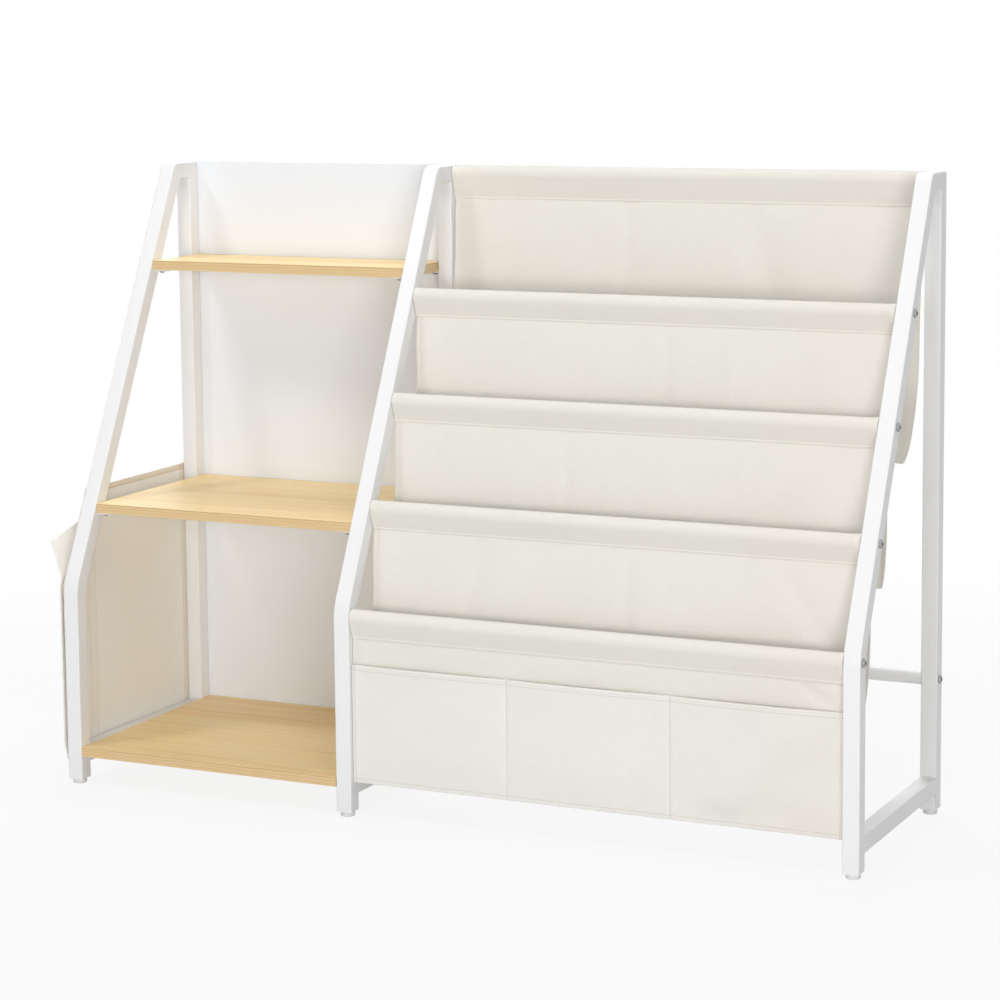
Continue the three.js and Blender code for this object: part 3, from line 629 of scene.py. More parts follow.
def panScrewModel():
    head, rise = fastenerLook["screwHead"], fastenerLook["screwRise"]
    turns = [math.radians(90 * step / 7) for step in range(7)]
    dome = [(head * (0.35 + 0.65 * math.cos(turn)), rise * math.sin(turn)) for turn in turns]
    lip = (rise * 0.99, rise * 0.93)
    return crossScrewModel("screw_model", fastenerLook["screwLength"], 0, 0.8 * mm, dome, rise, lip)


def flatScrewModel():
    head, rim = fastenerLook["screwHead"], fastenerLook["flatRim"]
    neck = -rim - fastenerLook["flatCone"]
    cone = [(head, -rim), (head, -0.06 * mm), (head - 0.1 * mm, 0)]
    return crossScrewModel("flat_screw_model", fastenerLook["flatLength"], neck, 0.4 * mm, cone, 0, (0, -0.1 * mm))


def middleOf(node):
    low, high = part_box(node)
    return (low + high) / 2


# Seat of a head that looks along the aim, with its top standing off by its rise
def seatOf(node, aim, rise):
    low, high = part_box(node)
    seat = middleOf(node)
    for part, way in enumerate(aim):
        if way:
            seat[part] = (high if way > 0 else low)[part] - rise * way
    return seat


def placeFasteners(name, model, nodes, aim, rise, seed):
    mesh = bpy.data.meshes.new(name)
    mesh.from_pydata([seatOf(node, aim, rise) for node in nodes], [], [])
    mesh.attributes.new("aim", "FLOAT_VECTOR", "POINT").data.foreach_set("vector", [*aim] * len(nodes))
    piece = grown(name, mesh, fasteners, {"Model": model, "Seed": seed, "Metal": steel})
    settle(piece, "bookshelf", "bolt_steel", *nodes)


toRight, toLeft, down, back = (1, 0, 0), (-1, 0, 0), (0, 0, -1), (0, 1, 0)
bolt, panScrew, flatScrew = buttonBoltModel(), panScrewModel(), flatScrewModel()
boltLabels = ["rod_bolt_2", "rod_bolt_3", "rod_bolt_4", "rod_bolt_5", "crossbar_bolt"]
shelfScrews = [f"{level}_shelf_screw_{count}" for level in levels for count in range(1, 5)]
panelScrews = [f"back_panel_screw_{count}" for count in range(1, 7)]
bagScrews = [f"bag_screw_{end}_{height}" for end in ("front", "rear") for height in ("low", "high")]
boltRise, screwRise = fastenerLook["boltRise"], fastenerLook["screwRise"]
placeFasteners("right_bolts", bolt, ["right_" + label for label in boltLabels], toRight, boltRise, 3)
placeFasteners("middle_bolts", bolt, ["middle_" + label for label in boltLabels], toLeft, boltRise, 5)
placeFasteners("shelf_screws", panScrew, shelfScrews, down, screwRise, 7)
placeFasteners("panel_screws", flatScrew, panelScrews, back, 0, 11)
placeFasteners("bag_screws", panScrew, bagScrews, toLeft, screwRise, 13)
for model in (bolt, panScrew, flatScrew):
    bpy.data.objects.remove(model)
print("fasteners placed")


# Round rods: smooth tube with soft ends, open or with a bolt hole
rodLook = {"sides": 64, "softEnd": 0.6 * mm, "wall": 1.5 * mm, "boltHole": 3.35 * mm, "smoothAngle": 40}
turnZtoX = Matrix(((0, 0, 1, 0), (1, 0, 0, 0), (0, 1, 0, 0), (0, 0, 0, 1)))


def roundRod(node, name, bore):
    low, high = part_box(node)
    radius, half, soft = (high.z - low.z) / 2, (high.x - low.x) / 2, rodLook["softEnd"]
    end = [(bore, half), (radius - soft, half), (radius - soft * 0.3, half - soft * 0.3), (radius, half - soft)]
    profile = [(reach, -along) for reach, along in end] + end[::-1]
    mesh = turnedMesh(name, profile, rodLook["sides"], coat, looped=True)
    mesh.transform(Matrix.Translation((low + high) / 2) @ turnZtoX)
    piece = newObject(name, mesh)
    shadeCleanly(piece, rodLook["smoothAngle"])
    settle(piece, "bookshelf", "frame_paint", node)


firstRodLow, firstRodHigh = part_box("sling_rod_1")
rodRadius = (firstRodHigh.z - firstRodLow.z) / 2
roundRod("sling_rod_1", "top_rod_tube", rodRadius - rodLook["wall"])
for count in range(2, 6):
    roundRod(f"sling_rod_{count}", f"rod_{count}_bar", rodLook["boltHole"])
roundRod("rear_crossbar", "rear_bar", rodLook["boltHole"])
print("rods made")


# Levelling feet: a soft edged pad and a threaded stud, both on the foot's own body
footLook = {
    "padSides": 56, "studSides": 32, "soft": 1.4 * mm, "pitch": 1.0 * mm, "cut": 0.4 * mm,
    "shank": 3.0 * mm, "padTop": 5.7 * mm, "smoothAngle": 35,
}


def levellingFoot(node):
    look = footLook
    low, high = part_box(node)
    radius, padTop, soft, shank = (high.x - low.x) / 2, look["padTop"], look["soft"], look["shank"]
    pad = [(radius - 2.4 * mm, 0)]
    for step in range(5):
        angle = math.radians(90 * step / 4)
        pad.append((radius - soft * (1 - math.sin(angle)), soft * (1 - math.cos(angle))))
    pad += [(radius, padTop * 0.55), (radius - 0.25 * mm, padTop * 0.58), (radius - 0.25 * mm, padTop * 0.7)]
    pad += [(radius - 0.6 * mm, padTop - 0.5 * mm), (radius - 1.2 * mm, padTop - 0.1 * mm)]
    pad += [(shank + 1.6 * mm, padTop), (shank + 0.1 * mm, padTop)]
    stud = [(shank * 0.95, padTop - 2 * mm), (shank * 0.95, padTop + 0.1 * mm)]
    stud += threadRidges(shank, high.z - 0.6 * mm, padTop + 0.3 * mm, look["pitch"], look["cut"])
    stud += [(shank - 0.6 * mm, high.z)]
    centre = (low + high) / 2
    for name, profile, sides, material, slot, replaced in (
        (node + "_pad", pad, look["padSides"], plastic, "foot_plastic", [node]),
        (node + "_stud", stud, look["studSides"], steel, "bolt_steel", []),
    ):
        piece = newObject(name, turnedMesh(name, profile, sides, material))
        piece.data.transform(Matrix.Translation((centre.x, centre.y, 0)))
        shadeCleanly(piece, look["smoothAngle"])
        settle(piece, node + "_body", slot, *replaced)


for side in frameSides:
    levellingFoot(side + "_front_foot")
    levellingFoot(side + "_rear_foot")
print("feet made")


# Everything about the cloth that a user might change, in real sizes
clothLook = {
    "ply": 1.4 * mm, "clearance": 0.4 * mm, "seat": 0.3 * mm, "seamDrop": 24 * mm, "topSeamDrop": 30.5 * mm,
    "belowSeam": 2.2 * mm, "seamRise": 0.32 * mm, "seamWidth": 1.3 * mm, "sideHem": 7 * mm, "hemRise": 0.25 * mm,
    "stitchInset": 3.6 * mm, "stitchProud": 0.08 * mm, "sewStep": 3 * mm, "closest": 0.8 * mm,
    "sleeveStep": 2.2 * mm, "widest": 5 * mm, "wider": 0.4 * mm, "gather": 9 * mm,
}
threadLook = {"Pitch": 3.6 * mm, "Length": 2.1 * mm, "Radius": 0.38 * mm, "Wobble": 0.07}
seamThreadLook = {**threadLook, "Pitch": 2.7 * mm, "Radius": 0.58 * mm}


def smooth(value, low, high):
    share = min(1, max(0, (value - low) / (high - low)))
    return share * share * (3 - 2 * share)


# A smooth step from 0 to 1 at a place
def stepAt(value, place, half):
    return smooth(value, place - half, place + half)


# 1 at a place, falling away over a width to each side
def bell(value, place, width):
    return math.exp(-(((value - place) / width) ** 2))


# Cloud of heights between about -1 and 1, with its own size along each way of the cloth
def cloud(u, v, sizeU, sizeV, seed):
    return noise.noise(Vector((u / sizeU + seed * 3.1, v / sizeV - seed * 1.7, seed * 0.61)))


# Ripples that thread draws into the cloth on both sides of it, with their rise and reach in mm
def puckers(rise, reach, away, u, v, sizeU, sizeV, seed):
    return rise * mm * bell(away, 0, reach * mm) * cloud(u, v, sizeU, sizeV, seed)


# A soft ridge along a straight line on the cloth, fading at its ends: start and end (u, v), width and rise, in mm
def crease(u, v, line):
    start, end, width, rise = line
    way = (Vector(end) - Vector(start)) * mm
    place = Vector((u, v)) - Vector(start) * mm
    share = place.dot(way) / way.length_squared
    aside = abs(place.x * way.y - place.y * way.x) / way.length
    fade = smooth(share, -0.15, 0.2) * (1 - smooth(share, 0.75, 1.15))
    return rise * mm * fade * bell(aside, 0, width * mm)


# Distances along a sheet, close together at its sewn places and wide between them
def stations(length, places, widest):
    found = [0.0]
    while found[-1] < length - clothLook["closest"] * 0.6:
        here = found[-1]
        nearest = min(abs(here - place) for place in (0, *places, length))
        step = min(widest(here) if callable(widest) else widest, max(clothLook["closest"], nearest * 0.4))
        ahead = [place for place in places if here + step * 0.5 < place < here + step * 1.3]
        if here + step * 0.5 < length < here + step * 1.3:
            ahead.append(length)
        found.append(min([*ahead, here + step, length]))
    return found


# Puts half millimetre rows round a place, and takes out those that they would crowd
def withFine(rows, place, count):
    fine = [place + step * 0.5 * mm for step in range(-count, count + 1)]
    fine = [row for row in fine if rows[0] <= row <= rows[-1]]
    kept = [row for row in rows if row in (rows[0], rows[-1]) or min(abs(row - other) for other in fine) > 0.3 * mm]
    return sorted({*kept, *fine})


def bezier(controls, steps):
    points = []
    for step in range(1, steps + 1):
        level = [Vector(point) for point in controls]
        while len(level) > 1:
            level = [first.lerp(second, step / steps) for first, second in zip(level, level[1:])]
        points.append(level[0])
    return points


# Cloth that follows a side view path of (y, z) points: u runs across it and v along it, in flat metres
class HungCloth:
    gather = None

    def __init__(self, path):
        self.ys = [point.x for point in path]
        self.zs = [point.y for point in path]
        self.run = [0.0]
        for first, second in zip(path, path[1:]):
            self.run.append(self.run[-1] + (second - first).length)
        self.length = self.run[-1]

    def spot(self, v):
        return Vector((0, np.interp(v, self.run, self.ys), np.interp(v, self.run, self.zs)))

    def at(self, u, v, proud=0.0):
        ahead = self.spot(min(v + 1.5 * mm, self.length)) - self.spot(max(v - 1.5 * mm, 0))
        outward = Vector((0, -ahead.z, ahead.y)).normalized()
        point = self.spot(v) + outward * (self.lift(u, v) + proud)
        point.x = slingLeft + u
        if self.gather:
            point.x += self.gather(v) * (1 - u / slingWidth)
        return point


def flatAsCut(u, v):
    return (u, v)


# A ply of cloth from the place of each (u, v), with a flat map of it in metres, in the place of CAD nodes
def laidCloth(name, place, columns, rows, material, *nodes, slot="sling_cloth", flat=flatAsCut,
              ply=clothLook["ply"], turned=False):
    flats = [flat(u, v) for v in rows for u in columns]
    across = len(columns)
    faces = []
    for row in range(len(rows) - 1):
        for column in range(across - 1):
            corner = row * across + column
            faces.append((corner, corner + 1, corner + across + 1, corner + across))
    mesh = bpy.data.meshes.new(name)
    mesh.from_pydata([place(u, v) for v in rows for u in columns], [], faces)
    mesh.polygons.foreach_set("use_smooth", [True] * len(faces))
    layer = mesh.uv_layers.new(name="flat")
    layer.data.foreach_set("uv", [part for loop in mesh.loops for part in flats[loop.vertex_index]])
    mesh.materials.append(material)
    if turned:
        mesh.flip_normals()
    piece = newObject(name, mesh)
    solidify = piece.modifiers.new("ply", "SOLIDIFY")
    solidify.thickness, solidify.offset, solidify.use_even_offset = ply, 0, False
    return settle(piece, "bookshelf", slot, *nodes)


# Sews along runs of (u, v) points, on the faces of the cloth that are asked for
def sewn(name, place, runs, faces, thread, seed, slot="sling_cloth", look=threadLook):
    points, edges = [], []
    for run in runs:
        for face in faces:
            first = len(points)
            for start, end in zip(run, run[1:]):
                steps = max(2, int(Vector((end[0] - start[0], end[1] - start[1])).length / clothLook["sewStep"]))
                for step in range(steps + (end == run[-1])):
                    share = step / steps
                    u, v = (a + (b - a) * share for a, b in zip(start, end))
                    points.append(place(u, v, face))
            edges += [(count, count + 1) for count in range(first, len(points) - 1)]
    mesh = bpy.data.meshes.new(name)
    mesh.from_pydata(points, edges, [])
    return settle(grown(name, mesh, stitches, {**look, "Seed": seed, "Thread": thread}), "bookshelf", slot)


# Lines to sew: up both sides of a cloth, and across it
def sideRuns(width, length, inset):
    return [[(place, 1 * mm), (place, length)] for place in (inset, width - inset)]


def crossRun(width, height):
    return [(1 * mm, height), (width - 1 * mm, height)]


# Sleeve round a rod: from its folded front edge up over the rod and down to the seam behind
def sleevePath(rod, drop=clothLook["seamDrop"]):
    look = clothLook
    reach = rodRadius + look["clearance"] + look["ply"] / 2
    half = look["ply"] / 2 + 0.05 * mm
    lean = math.acos(reach / math.hypot(half, drop)) - math.atan2(drop, half)
    path = [rod + Vector((0.3 * mm, -drop - look["belowSeam"])), rod + Vector((-half, 2 * mm - drop))]
    for step in range(41):
        turn = math.pi - lean - (math.pi - 2 * lean) * step / 40
        path.append(rod + reach * Vector((math.cos(turn), math.sin(turn))))
    return [*path, rod + Vector((half, -drop))]


# Pocket: down behind, round its low bend and up to the seam under the next rod
pocketLook = {
    "upper": {"drop": 177.5 * mm, "back": 0.755, "low": 0.23, "front": 0.14, "backRound": 1.15, "frontRound": 0.37},
    "lower": {"drop": 186.5 * mm, "back": 0.46, "low": 0.17, "front": 0.07, "backRound": 1.3, "frontRound": 0.3},
    "bend": 0.36, "solidPly": 1.6 * mm, "steps": 24,
}


def pocketPath(rod, nextRod, shape, drop):
    look, bend = clothLook, pocketLook["bend"]
    spread = rod.x - nextRod.x
    bottom = nextRod.y - shape["drop"] + pocketLook["solidPly"] / 2
    start = rod + Vector((look["ply"] / 2, -drop))
    rear = Vector((nextRod.x + spread * shape["back"], bottom + spread * shape["backRound"]))
    low = Vector((nextRod.x + spread * shape["low"], bottom))
    front = Vector((nextRod.x + spread * shape["front"], bottom + spread * shape["frontRound"]))
    end = nextRod + Vector((pocketLook["solidPly"] * 1.5 + look["seat"], -look["seamDrop"]))
    bends = [
        [start, (rear.x, (start.y + rear.y) / 2), rear],
        [rear, (rear.x, low.y + (rear.y - low.y) * bend), (rear.x + (low.x - rear.x) * (1 - bend), low.y), low],
        [low, (low.x + (front.x - low.x) * (1 - bend), low.y), (front.x, low.y + (front.y - low.y) * bend), front],
        [front, (front.x, (front.y + end.y) / 2), end],
    ]
    return [point for controls in bends for point in bezier(controls, pocketLook["steps"])]


rodPlaces = [middleOf(f"sling_rod_{count}").yz for count in range(1, 6)]
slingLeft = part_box("sling_1")[0].x - clothLook["wider"]
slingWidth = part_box("sling_1")[1].x + clothLook["wider"] - slingLeft
seamLine = clothLook["belowSeam"] + 1.2 * mm
seamAt = HungCloth(sleevePath(rodPlaces[0])).length
stitchReach = clothLook["ply"] / 2 + clothLook["stitchProud"]

# Waves and faint packing folds of each sling: (start u, v), (end u, v), width and rise, in mm
slingFolds = [
    {"seed": 3, "wave": 5.4, "lines": [((30, 124), (58, 92), 4, 1.8), ((236, 90), (232, 300), 9, 2.2),
                                       ((392, 110), (440, 250), 22, 4.2), ((560, 96), (520, 180), 10, 2.0)]},
    {"seed": 8, "wave": 4.4, "lines": [((34, 122), (64, 92), 5, 1.7), ((330, 92), (330, 300), 7, 2.0),
                                       ((410, 100), (412, 300), 6, -1.7), ((575, 100), (540, 190), 9, 2.0)]},
    {"seed": 13, "wave": 4.6, "lines": [((230, 94), (226, 300), 8, 2.0), ((480, 180), (585, 96), 16, 3.4),
                                        ((70, 96), (40, 150), 8, 1.6)]},
    {"seed": 19, "wave": 4.8, "lines": [((330, 96), (334, 300), 9, 2.0), ((150, 96), (120, 190), 14, 2.6),
                                        ((520, 100), (590, 190), 14, 2.6)]},
]


def sideHemRise(side):
    return clothLook["hemRise"] * (1 - stepAt(side, clothLook["sideHem"], 0.5 * mm))


# How far the cloth stands off its path: hems, seam fold, waves, folds and thread puckers
def slingLift(length, folds):
    look, seed = clothLook, folds["seed"]

    def lift(u, v):
        side = min(u, slingWidth - u)
        height = sideHemRise(side) + look["seamRise"] * bell(v, seamLine, look["seamWidth"])
        free = smooth(v, seamAt, seamAt + 70 * mm) * smooth(length - v, 0, 30 * mm)
        wave = cloud(u, v, 0.13, 0.16, seed) + 0.4 * cloud(u, v, 0.05, 0.3, seed + 5)
        height += wave * folds["wave"] * mm * free
        if v > seamAt:
            height += sum(crease(u, v, line) for line in folds["lines"])
        under = smooth(v, 2 * mm, 12 * mm) * (1 - smooth(v, 16 * mm, 26 * mm))
        height += 0.5 * mm * under * (0.5 + 0.5 * cloud(u, v, 0.045, 0.03, seed + 9))
        height += puckers(0.2, 3, side - look["stitchInset"], u, v, 0.02, 0.007, seed + 2)
        nearSeam = bell(v, seamAt, 6 * mm) + bell(v, 4 * mm, 5 * mm)
        return height + 0.12 * mm * nearSeam * cloud(u, v, 0.009, 0.02, seed + 4)
    return lift


# The pockets' left edges are gathered a little more the deeper they hang
def gathered(length):
    def gather(v):
        return clothLook["gather"] * smooth(v, seamAt - 10 * mm, seamAt + 95 * mm) * smooth(length - v, 0, 90 * mm)
    return gather


def hungColumns(*extra):
    return stations(slingWidth, [clothLook["sideHem"], slingWidth - clothLook["sideHem"], *extra], clothLook["widest"])


def hungRows(length, *places):
    def widest(here):
        return clothLook["sleeveStep"] if here < seamAt + 4 * mm else clothLook["widest"]
    return withFine(stations(length, [seamAt, *places], widest), seamLine, 4)


for count, folds in enumerate(slingFolds, 1):
    node = f"sling_{count}"
    top = count == 1
    shape, drop = pocketLook["upper" if top else "lower"], clothLook["topSeamDrop" if top else "seamDrop"]
    rod, nextRod = rodPlaces[count - 1:count + 1]
    path = [*sleevePath(rod, drop)[:-1], rod + Vector((clothLook["ply"] / 2, -drop))]
    sling = HungCloth(path + pocketPath(rod, nextRod, shape, drop))
    sling.lift = slingLift(sling.length, folds)
    sling.gather = gathered(sling.length)
    rows = hungRows(sling.length)
    piece = laidCloth(node + "_cloth", sling.at, hungColumns(), rows, slingCanvas, node)
    runs = sideRuns(slingWidth, sling.length, clothLook["stitchInset"])
    thread = sewn(node + "_thread", sling.at, runs, (-stitchReach, stitchReach), slingThread, 20 + count)
    seam = sewn(node + "_seam", sling.at, [crossRun(slingWidth, seamLine)], (stitchReach,), slingThread, 30 + count,
                look=seamThreadLook)
print("slings hung")


# Front curtain: a sleeve on the lowest rod and one ply down to its hem
curtainLook = {
    "hemDepth": 8 * mm,
    "folds": {"seed": 29, "wave": 1.8, "lines": [((556, 84), (604, 122), 8, 2.4), ((90, 84), (60, 110), 10, 1.6)]},
}
lowestRod = rodPlaces[4]
stripLow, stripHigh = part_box("front_pocket_strip")
hemHeight, stripRise = stripLow.z, stripHigh.z - stripLow.z
curtain = HungCloth([
    *sleevePath(lowestRod), lowestRod + Vector((0.1 * mm, -clothLook["seamDrop"] - 9 * mm)),
    Vector((lowestRod.x, hemHeight + 60 * mm)), Vector((lowestRod.x, hemHeight)),
])
stripStarts = curtain.length - stripRise
curtainWaves = slingLift(curtain.length, curtainLook["folds"])


def curtainLift(u, v):
    return curtainWaves(u, v) * (1 - smooth(v, stripStarts - 12 * mm, stripStarts - 1 * mm))


curtain.lift = curtainLift
rows = hungRows(curtain.length, stripStarts, curtain.length - curtainLook["hemDepth"])
curtainPiece = laidCloth("front_curtain_cloth", curtain.at, hungColumns(), rows, slingCanvas, "front_curtain")
runs = [*sideRuns(slingWidth, stripStarts, clothLook["stitchInset"]), crossRun(slingWidth, seamLine)]
curtainThread = sewn("front_curtain_thread", curtain.at, runs, (stitchReach,), slingThread, 41)


# Strip of three flat pockets on the curtain, open at the top, sewn at its ends, dividers and foot
stripLook = {
    "topHem": 6 * mm, "footHem": 8 * mm, "dividers": [601.5 * mm, 804.5 * mm], "footStitch": 5 * mm, "widest": 3.2 * mm,
    "standOff": 1.1 * mm, "groove": 2.2 * mm, "bulge": [2.6 * mm, 3.2 * mm, 3.8 * mm], "mouth": 0.8 * mm,
    "rimRise": 0.45 * mm, "rimDepth": 2.2 * mm, "rimRound": 1.4 * mm,
    "shades": [((150, 30), (170, 120), 26, 2.2), ((352, 10), (392, 120), 20, -2.0), ((452, 10), (556, 130), 22, 5.6),
               ((520, 0), (606, 110), 22, -2.6)],
}
dividers = [unitLeft + place - slingLeft for place in stripLook["dividers"]]


def stripLift(u, v):
    look = stripLook
    walls = [0, *dividers, slingWidth]
    pocket = sum(u > wall for wall in dividers)
    arch = math.sin(math.pi * (u - walls[pocket]) / (walls[pocket + 1] - walls[pocket]))
    sewnAway = min(abs(u - wall) for wall in dividers)
    side, fromTop = min(u, slingWidth - u), stripRise - v
    height = look["standOff"] * (1 - 0.85 * bell(sewnAway, 0, look["groove"]))
    height += look["bulge"][pocket] * arch ** 0.8 * smooth(v, 1 * mm, 46 * mm)
    height += look["mouth"] * arch ** 0.5 * smooth(v, stripRise - 30 * mm, stripRise)
    shades = sum(crease(u, v, line) for line in look["shades"])
    height += (shades + 0.8 * mm * cloud(u, v, 0.07, 0.06, 51)) * arch ** 0.5 * smooth(v, 0, 30 * mm)
    height += look["rimRise"] * (1 - stepAt(fromTop, look["rimDepth"], 0.6 * mm))
    if fromTop < look["rimRound"]:
        height -= look["rimRound"] - math.sqrt(look["rimRound"] ** 2 - (look["rimRound"] - fromTop) ** 2)
    height += puckers(0.45, 3.6, side - clothLook["stitchInset"], u, v, 0.03, 0.0055, 53)
    height += puckers(0.22, 6, sewnAway, u, v, 0.03, 0.0065, 54)
    height += puckers(0.25, 4, v - look["footStitch"], u, v, 0.008, 0.02, 55)
    height += puckers(0.16, 2.5, fromTop - look["topHem"], u, v, 0.0075, 0.02, 56)
    return height + sideHemRise(side)


stripY = (stripLow.y + stripHigh.y) / 2
strip = HungCloth([Vector((stripY, hemHeight + stripRise * share)) for share in (0, 0.5, 1)])
strip.lift = stripLift
rows = stations(strip.length, [stripLook["footHem"], stripRise - stripLook["topHem"], stripRise], stripLook["widest"])
rows = sorted({*withFine(rows, stripRise - 1.6 * mm, 4), stripRise - 0.2 * mm, stripRise - 0.07 * mm})
stripPiece = laidCloth("pocket_strip_cloth", strip.at, hungColumns(*dividers), rows, stripCanvas,
                       "front_pocket_strip")
runs = [[(place, 1 * mm), (place, stripRise - 1.5 * mm)] for place in dividers]
runs += sideRuns(slingWidth, stripRise - 1.5 * mm, clothLook["stitchInset"])
runs += [crossRun(slingWidth, stripRise - stripLook["topHem"]), crossRun(slingWidth, stripLook["footStitch"])]
stripSewing = sewn("pocket_strip_thread", strip.at, runs, (stitchReach,), stripThread, 57)
print("curtain and pocket strip hung")


# Side bag: a flat panel over the left frame and an outer pocket that stands open at its front corner
bagLook = {
    "knee": 250 * mm, "slope": 250 / 510, "inset": 3 * mm, "fold": 71 * mm, "rear": 288 * mm, "low": 30 * mm,
    "high": 363 * mm, "topHem": 7 * mm, "edge": 2.4 * mm, "sideHem": 7.6 * mm, "hemRise": 0.3 * mm, "rimRow": 4.6 * mm,
    "panelStandOff": 1.1 * mm, "wave": 1.7 * mm, "loose": 1.1 * mm, "pocketStandOff": 3.0 * mm, "mouth": 319 * mm,
    "mouthRise": 22 * mm, "bulge": 30 * mm, "flare": 34 * mm, "drop": 23 * mm, "foldStart": 0.79, "foldWidth": 0.62,
    "gusset": 3.6 * mm, "mouthHem": 13 * mm, "pocketHemRise": 0.35 * mm, "mouthCurve": 11 * mm, "ply": 1.3 * mm,
    "stitchInset": 5 * mm, "widest": 4.5 * mm,
    "creases": [((268, 2), (216, 66), 5, -1.5), ((282, 14), (246, 76), 4, 1.1), ((72, 4), (112, 46), 6, 0.9),
                ((68, 4), (70, 236), 4, 0.7), ((268, 300), (222, 262), 7, 1.0), ((150, 330), (140, 250), 18, 0.8)],
}
earLook = {
    "heights": {"low": 62 * mm, "high": 351 * mm}, "height": 26 * mm, "start": 285.6 * mm, "end": 301.5 * mm,
    "ply": 1.2 * mm, "widest": 3 * mm, "stitchInset": 2.5 * mm, "stitchFrom": 6 * mm, "stitchReach": 0.7 * mm,
}
bagWidth = bagLook["rear"] - bagLook["inset"]
bagHigh = bagLook["high"] - bagLook["low"]
pocketHigh = bagLook["mouth"] - bagLook["low"]
topHemLine, mouthHemLine = bagHigh - bagLook["topHem"], pocketHigh - bagLook["mouthHem"]


# Marks on the panel's own (y, z), mixed towards tan: a tan hem along its top with a darker line where it is sewn, a tan
# band and a tan line along the rear edge, a faint line 52 mm in from the front edge, and painted shade along the fold
# at 71 mm and over the cloth in front of that fold
def panelHemsAndShade(y, z):
    look = bagLook
    fromFront = y - look["inset"] - (z - look["knee"]).highest(0) * look["slope"]
    fromTop, fromRear = look["high"] - z, look["rear"] - y
    marks = (fromTop < look["topHem"]) * 0.4 + fromTop.band(look["topHem"], 1.0 * mm) * 0.7
    # Painted shade: a faint tint over the cloth in front of the fold, and a darker line along the fold itself
    marks = marks + (y < look["fold"]) * 0.1 + y.band(look["fold"], 1.6 * mm) * 0.25
    marks = marks + fromFront.band(52 * mm, 3 * mm) * 0.2 + (fromRear < 8 * mm) * 0.2
    return marks + fromRear.band(10.5 * mm, 2.2 * mm) * 0.6


def bagFront(z):
    return max(0, z - bagLook["knee"]) * bagLook["slope"] + bagLook["inset"]


# The unit's own (x to the left, y, z) as a place in the scene
def besideFrame(left, y, z):
    return Vector((unitLeft - left, unitFront + y, z))


# u runs over the panel's foot width and v up from its foot; proud is how far off its face
def panelPlace(u, v, proud=0.0):
    look = bagLook
    z = look["low"] + v
    front = bagFront(z)
    y = front + u / bagWidth * (look["rear"] - front)
    fromFront, fromRear = y - front, look["rear"] - y
    free = smooth(fromFront, 20 * mm, 60 * mm) * smooth(fromRear, 0, 50 * mm)
    height = look["wave"] * free * (cloud(y, z, 0.11, 0.14, 61) + 0.4 * cloud(y, z, 0.04, 0.2, 63)) - 0.8 * mm * free
    # The creases that go inward end before the frame's leg
    for line in look["creases"]:
        inward = line[-1] < 0
        height += crease(u, v, line) * (smooth(fromFront, 18 * mm, 30 * mm) if inward else 1)
    edge = min(fromFront, fromRear)
    height += look["hemRise"] * (1 - stepAt(edge, look["sideHem"], 0.6 * mm) + stepAt(v, topHemLine, 0.6 * mm))
    held = min(abs(z - ear) for ear in earLook["heights"].values())
    loose = smooth(held, 14 * mm, 45 * mm) * (1 - smooth(fromRear, 0, 40 * mm))
    height += look["loose"] * loose * cloud(y, z, 0.2, 0.05, 67)
    y += 0.9 * mm * loose * (cloud(z, 0, 0.045, 1, 69) - 0.3)
    height += puckers(0.2, 3, edge - look["stitchInset"], y, z, 0.02, 0.008, 71)
    return besideFrame(look["panelStandOff"] + height + proud, y, z)


def panelFlat(u, v):
    place = panelPlace(u, v)
    return (place.y - unitFront, place.z)


# u runs over the pocket's foot width and v up its front edge; towards the rear it stands higher
def pocketPlace(u, v, proud=0.0):
    look = bagLook
    across, up = u / bagWidth, v / pocketHigh
    z = look["low"] + up * (pocketHigh + across * look["mouthRise"])
    front = bagFront(z)
    y = front + across * (look["rear"] - front)
    belly = look["bulge"] * math.sin(math.pi * across) * up * up
    fold = max(0, (up - look["foldStart"]) / (1 - look["foldStart"])) * max(0, 1 - across / look["foldWidth"]) ** 2
    gusset = look["gusset"] * smooth(up, 0, 0.07) * (1 - smooth(across, 0, 0.4))
    free = smooth(across, 0, 0.15) * smooth(1 - across, 0, 0.15) * smooth(up, 0, 0.2)
    height = belly + look["flare"] * fold + gusset + 2.6 * mm * free * cloud(y, z, 0.09, 0.16, 81)
    height += 1.0 * mm * free * cloud(y, z, 0.035, 0.2, 83)
    height += look["pocketHemRise"] * stepAt(v, mouthHemLine, 0.6 * mm)
    edge = min(u, bagWidth - u, v)
    height += puckers(0.35, 4, edge - look["stitchInset"], u, v, 0.009, 0.009, 85)
    return besideFrame(look["pocketStandOff"] + height + proud, y, z - look["drop"] * fold)


def bagStations(length, *places):
    return stations(length, [bagLook["edge"], *places], bagLook["widest"])


columns = bagStations(bagWidth, bagLook["sideHem"], bagWidth - bagLook["sideHem"], bagWidth - bagLook["edge"])
panelPiece = laidCloth(
    "bag_panel_cloth", panelPlace, columns, bagStations(bagHigh, topHemLine, bagHigh - bagLook["rimRow"]),
    clothPaint("bag_panel_canvas", canvas, panelHemsAndShade, coloursOf="bag_canvas"), "side_bag_panel",
    slot="bag_cloth", flat=panelFlat, ply=bagLook["ply"], turned=True,
)
pocketPiece = laidCloth(
    "bag_pocket_cloth", pocketPlace, bagStations(bagWidth, bagWidth - bagLook["edge"]),
    bagStations(pocketHigh, mouthHemLine, pocketHigh - bagLook["edge"]), bagCanvas, "side_bag_pocket",
    slot="bag_cloth", ply=bagLook["ply"], turned=True,
)


# Ears: webbing from the panel over the rear leg, under the rear screws
def earPlaceAt(height):
    def place(u, v, proud=0.0):
        ripple = 0.25 * mm * cloud(u, v, 0.02, 0.02, height)
        z = height - earLook["height"] / 2 + u
        return besideFrame(bagLook["panelStandOff"] + ripple + proud, earLook["start"] + v, z)
    return place


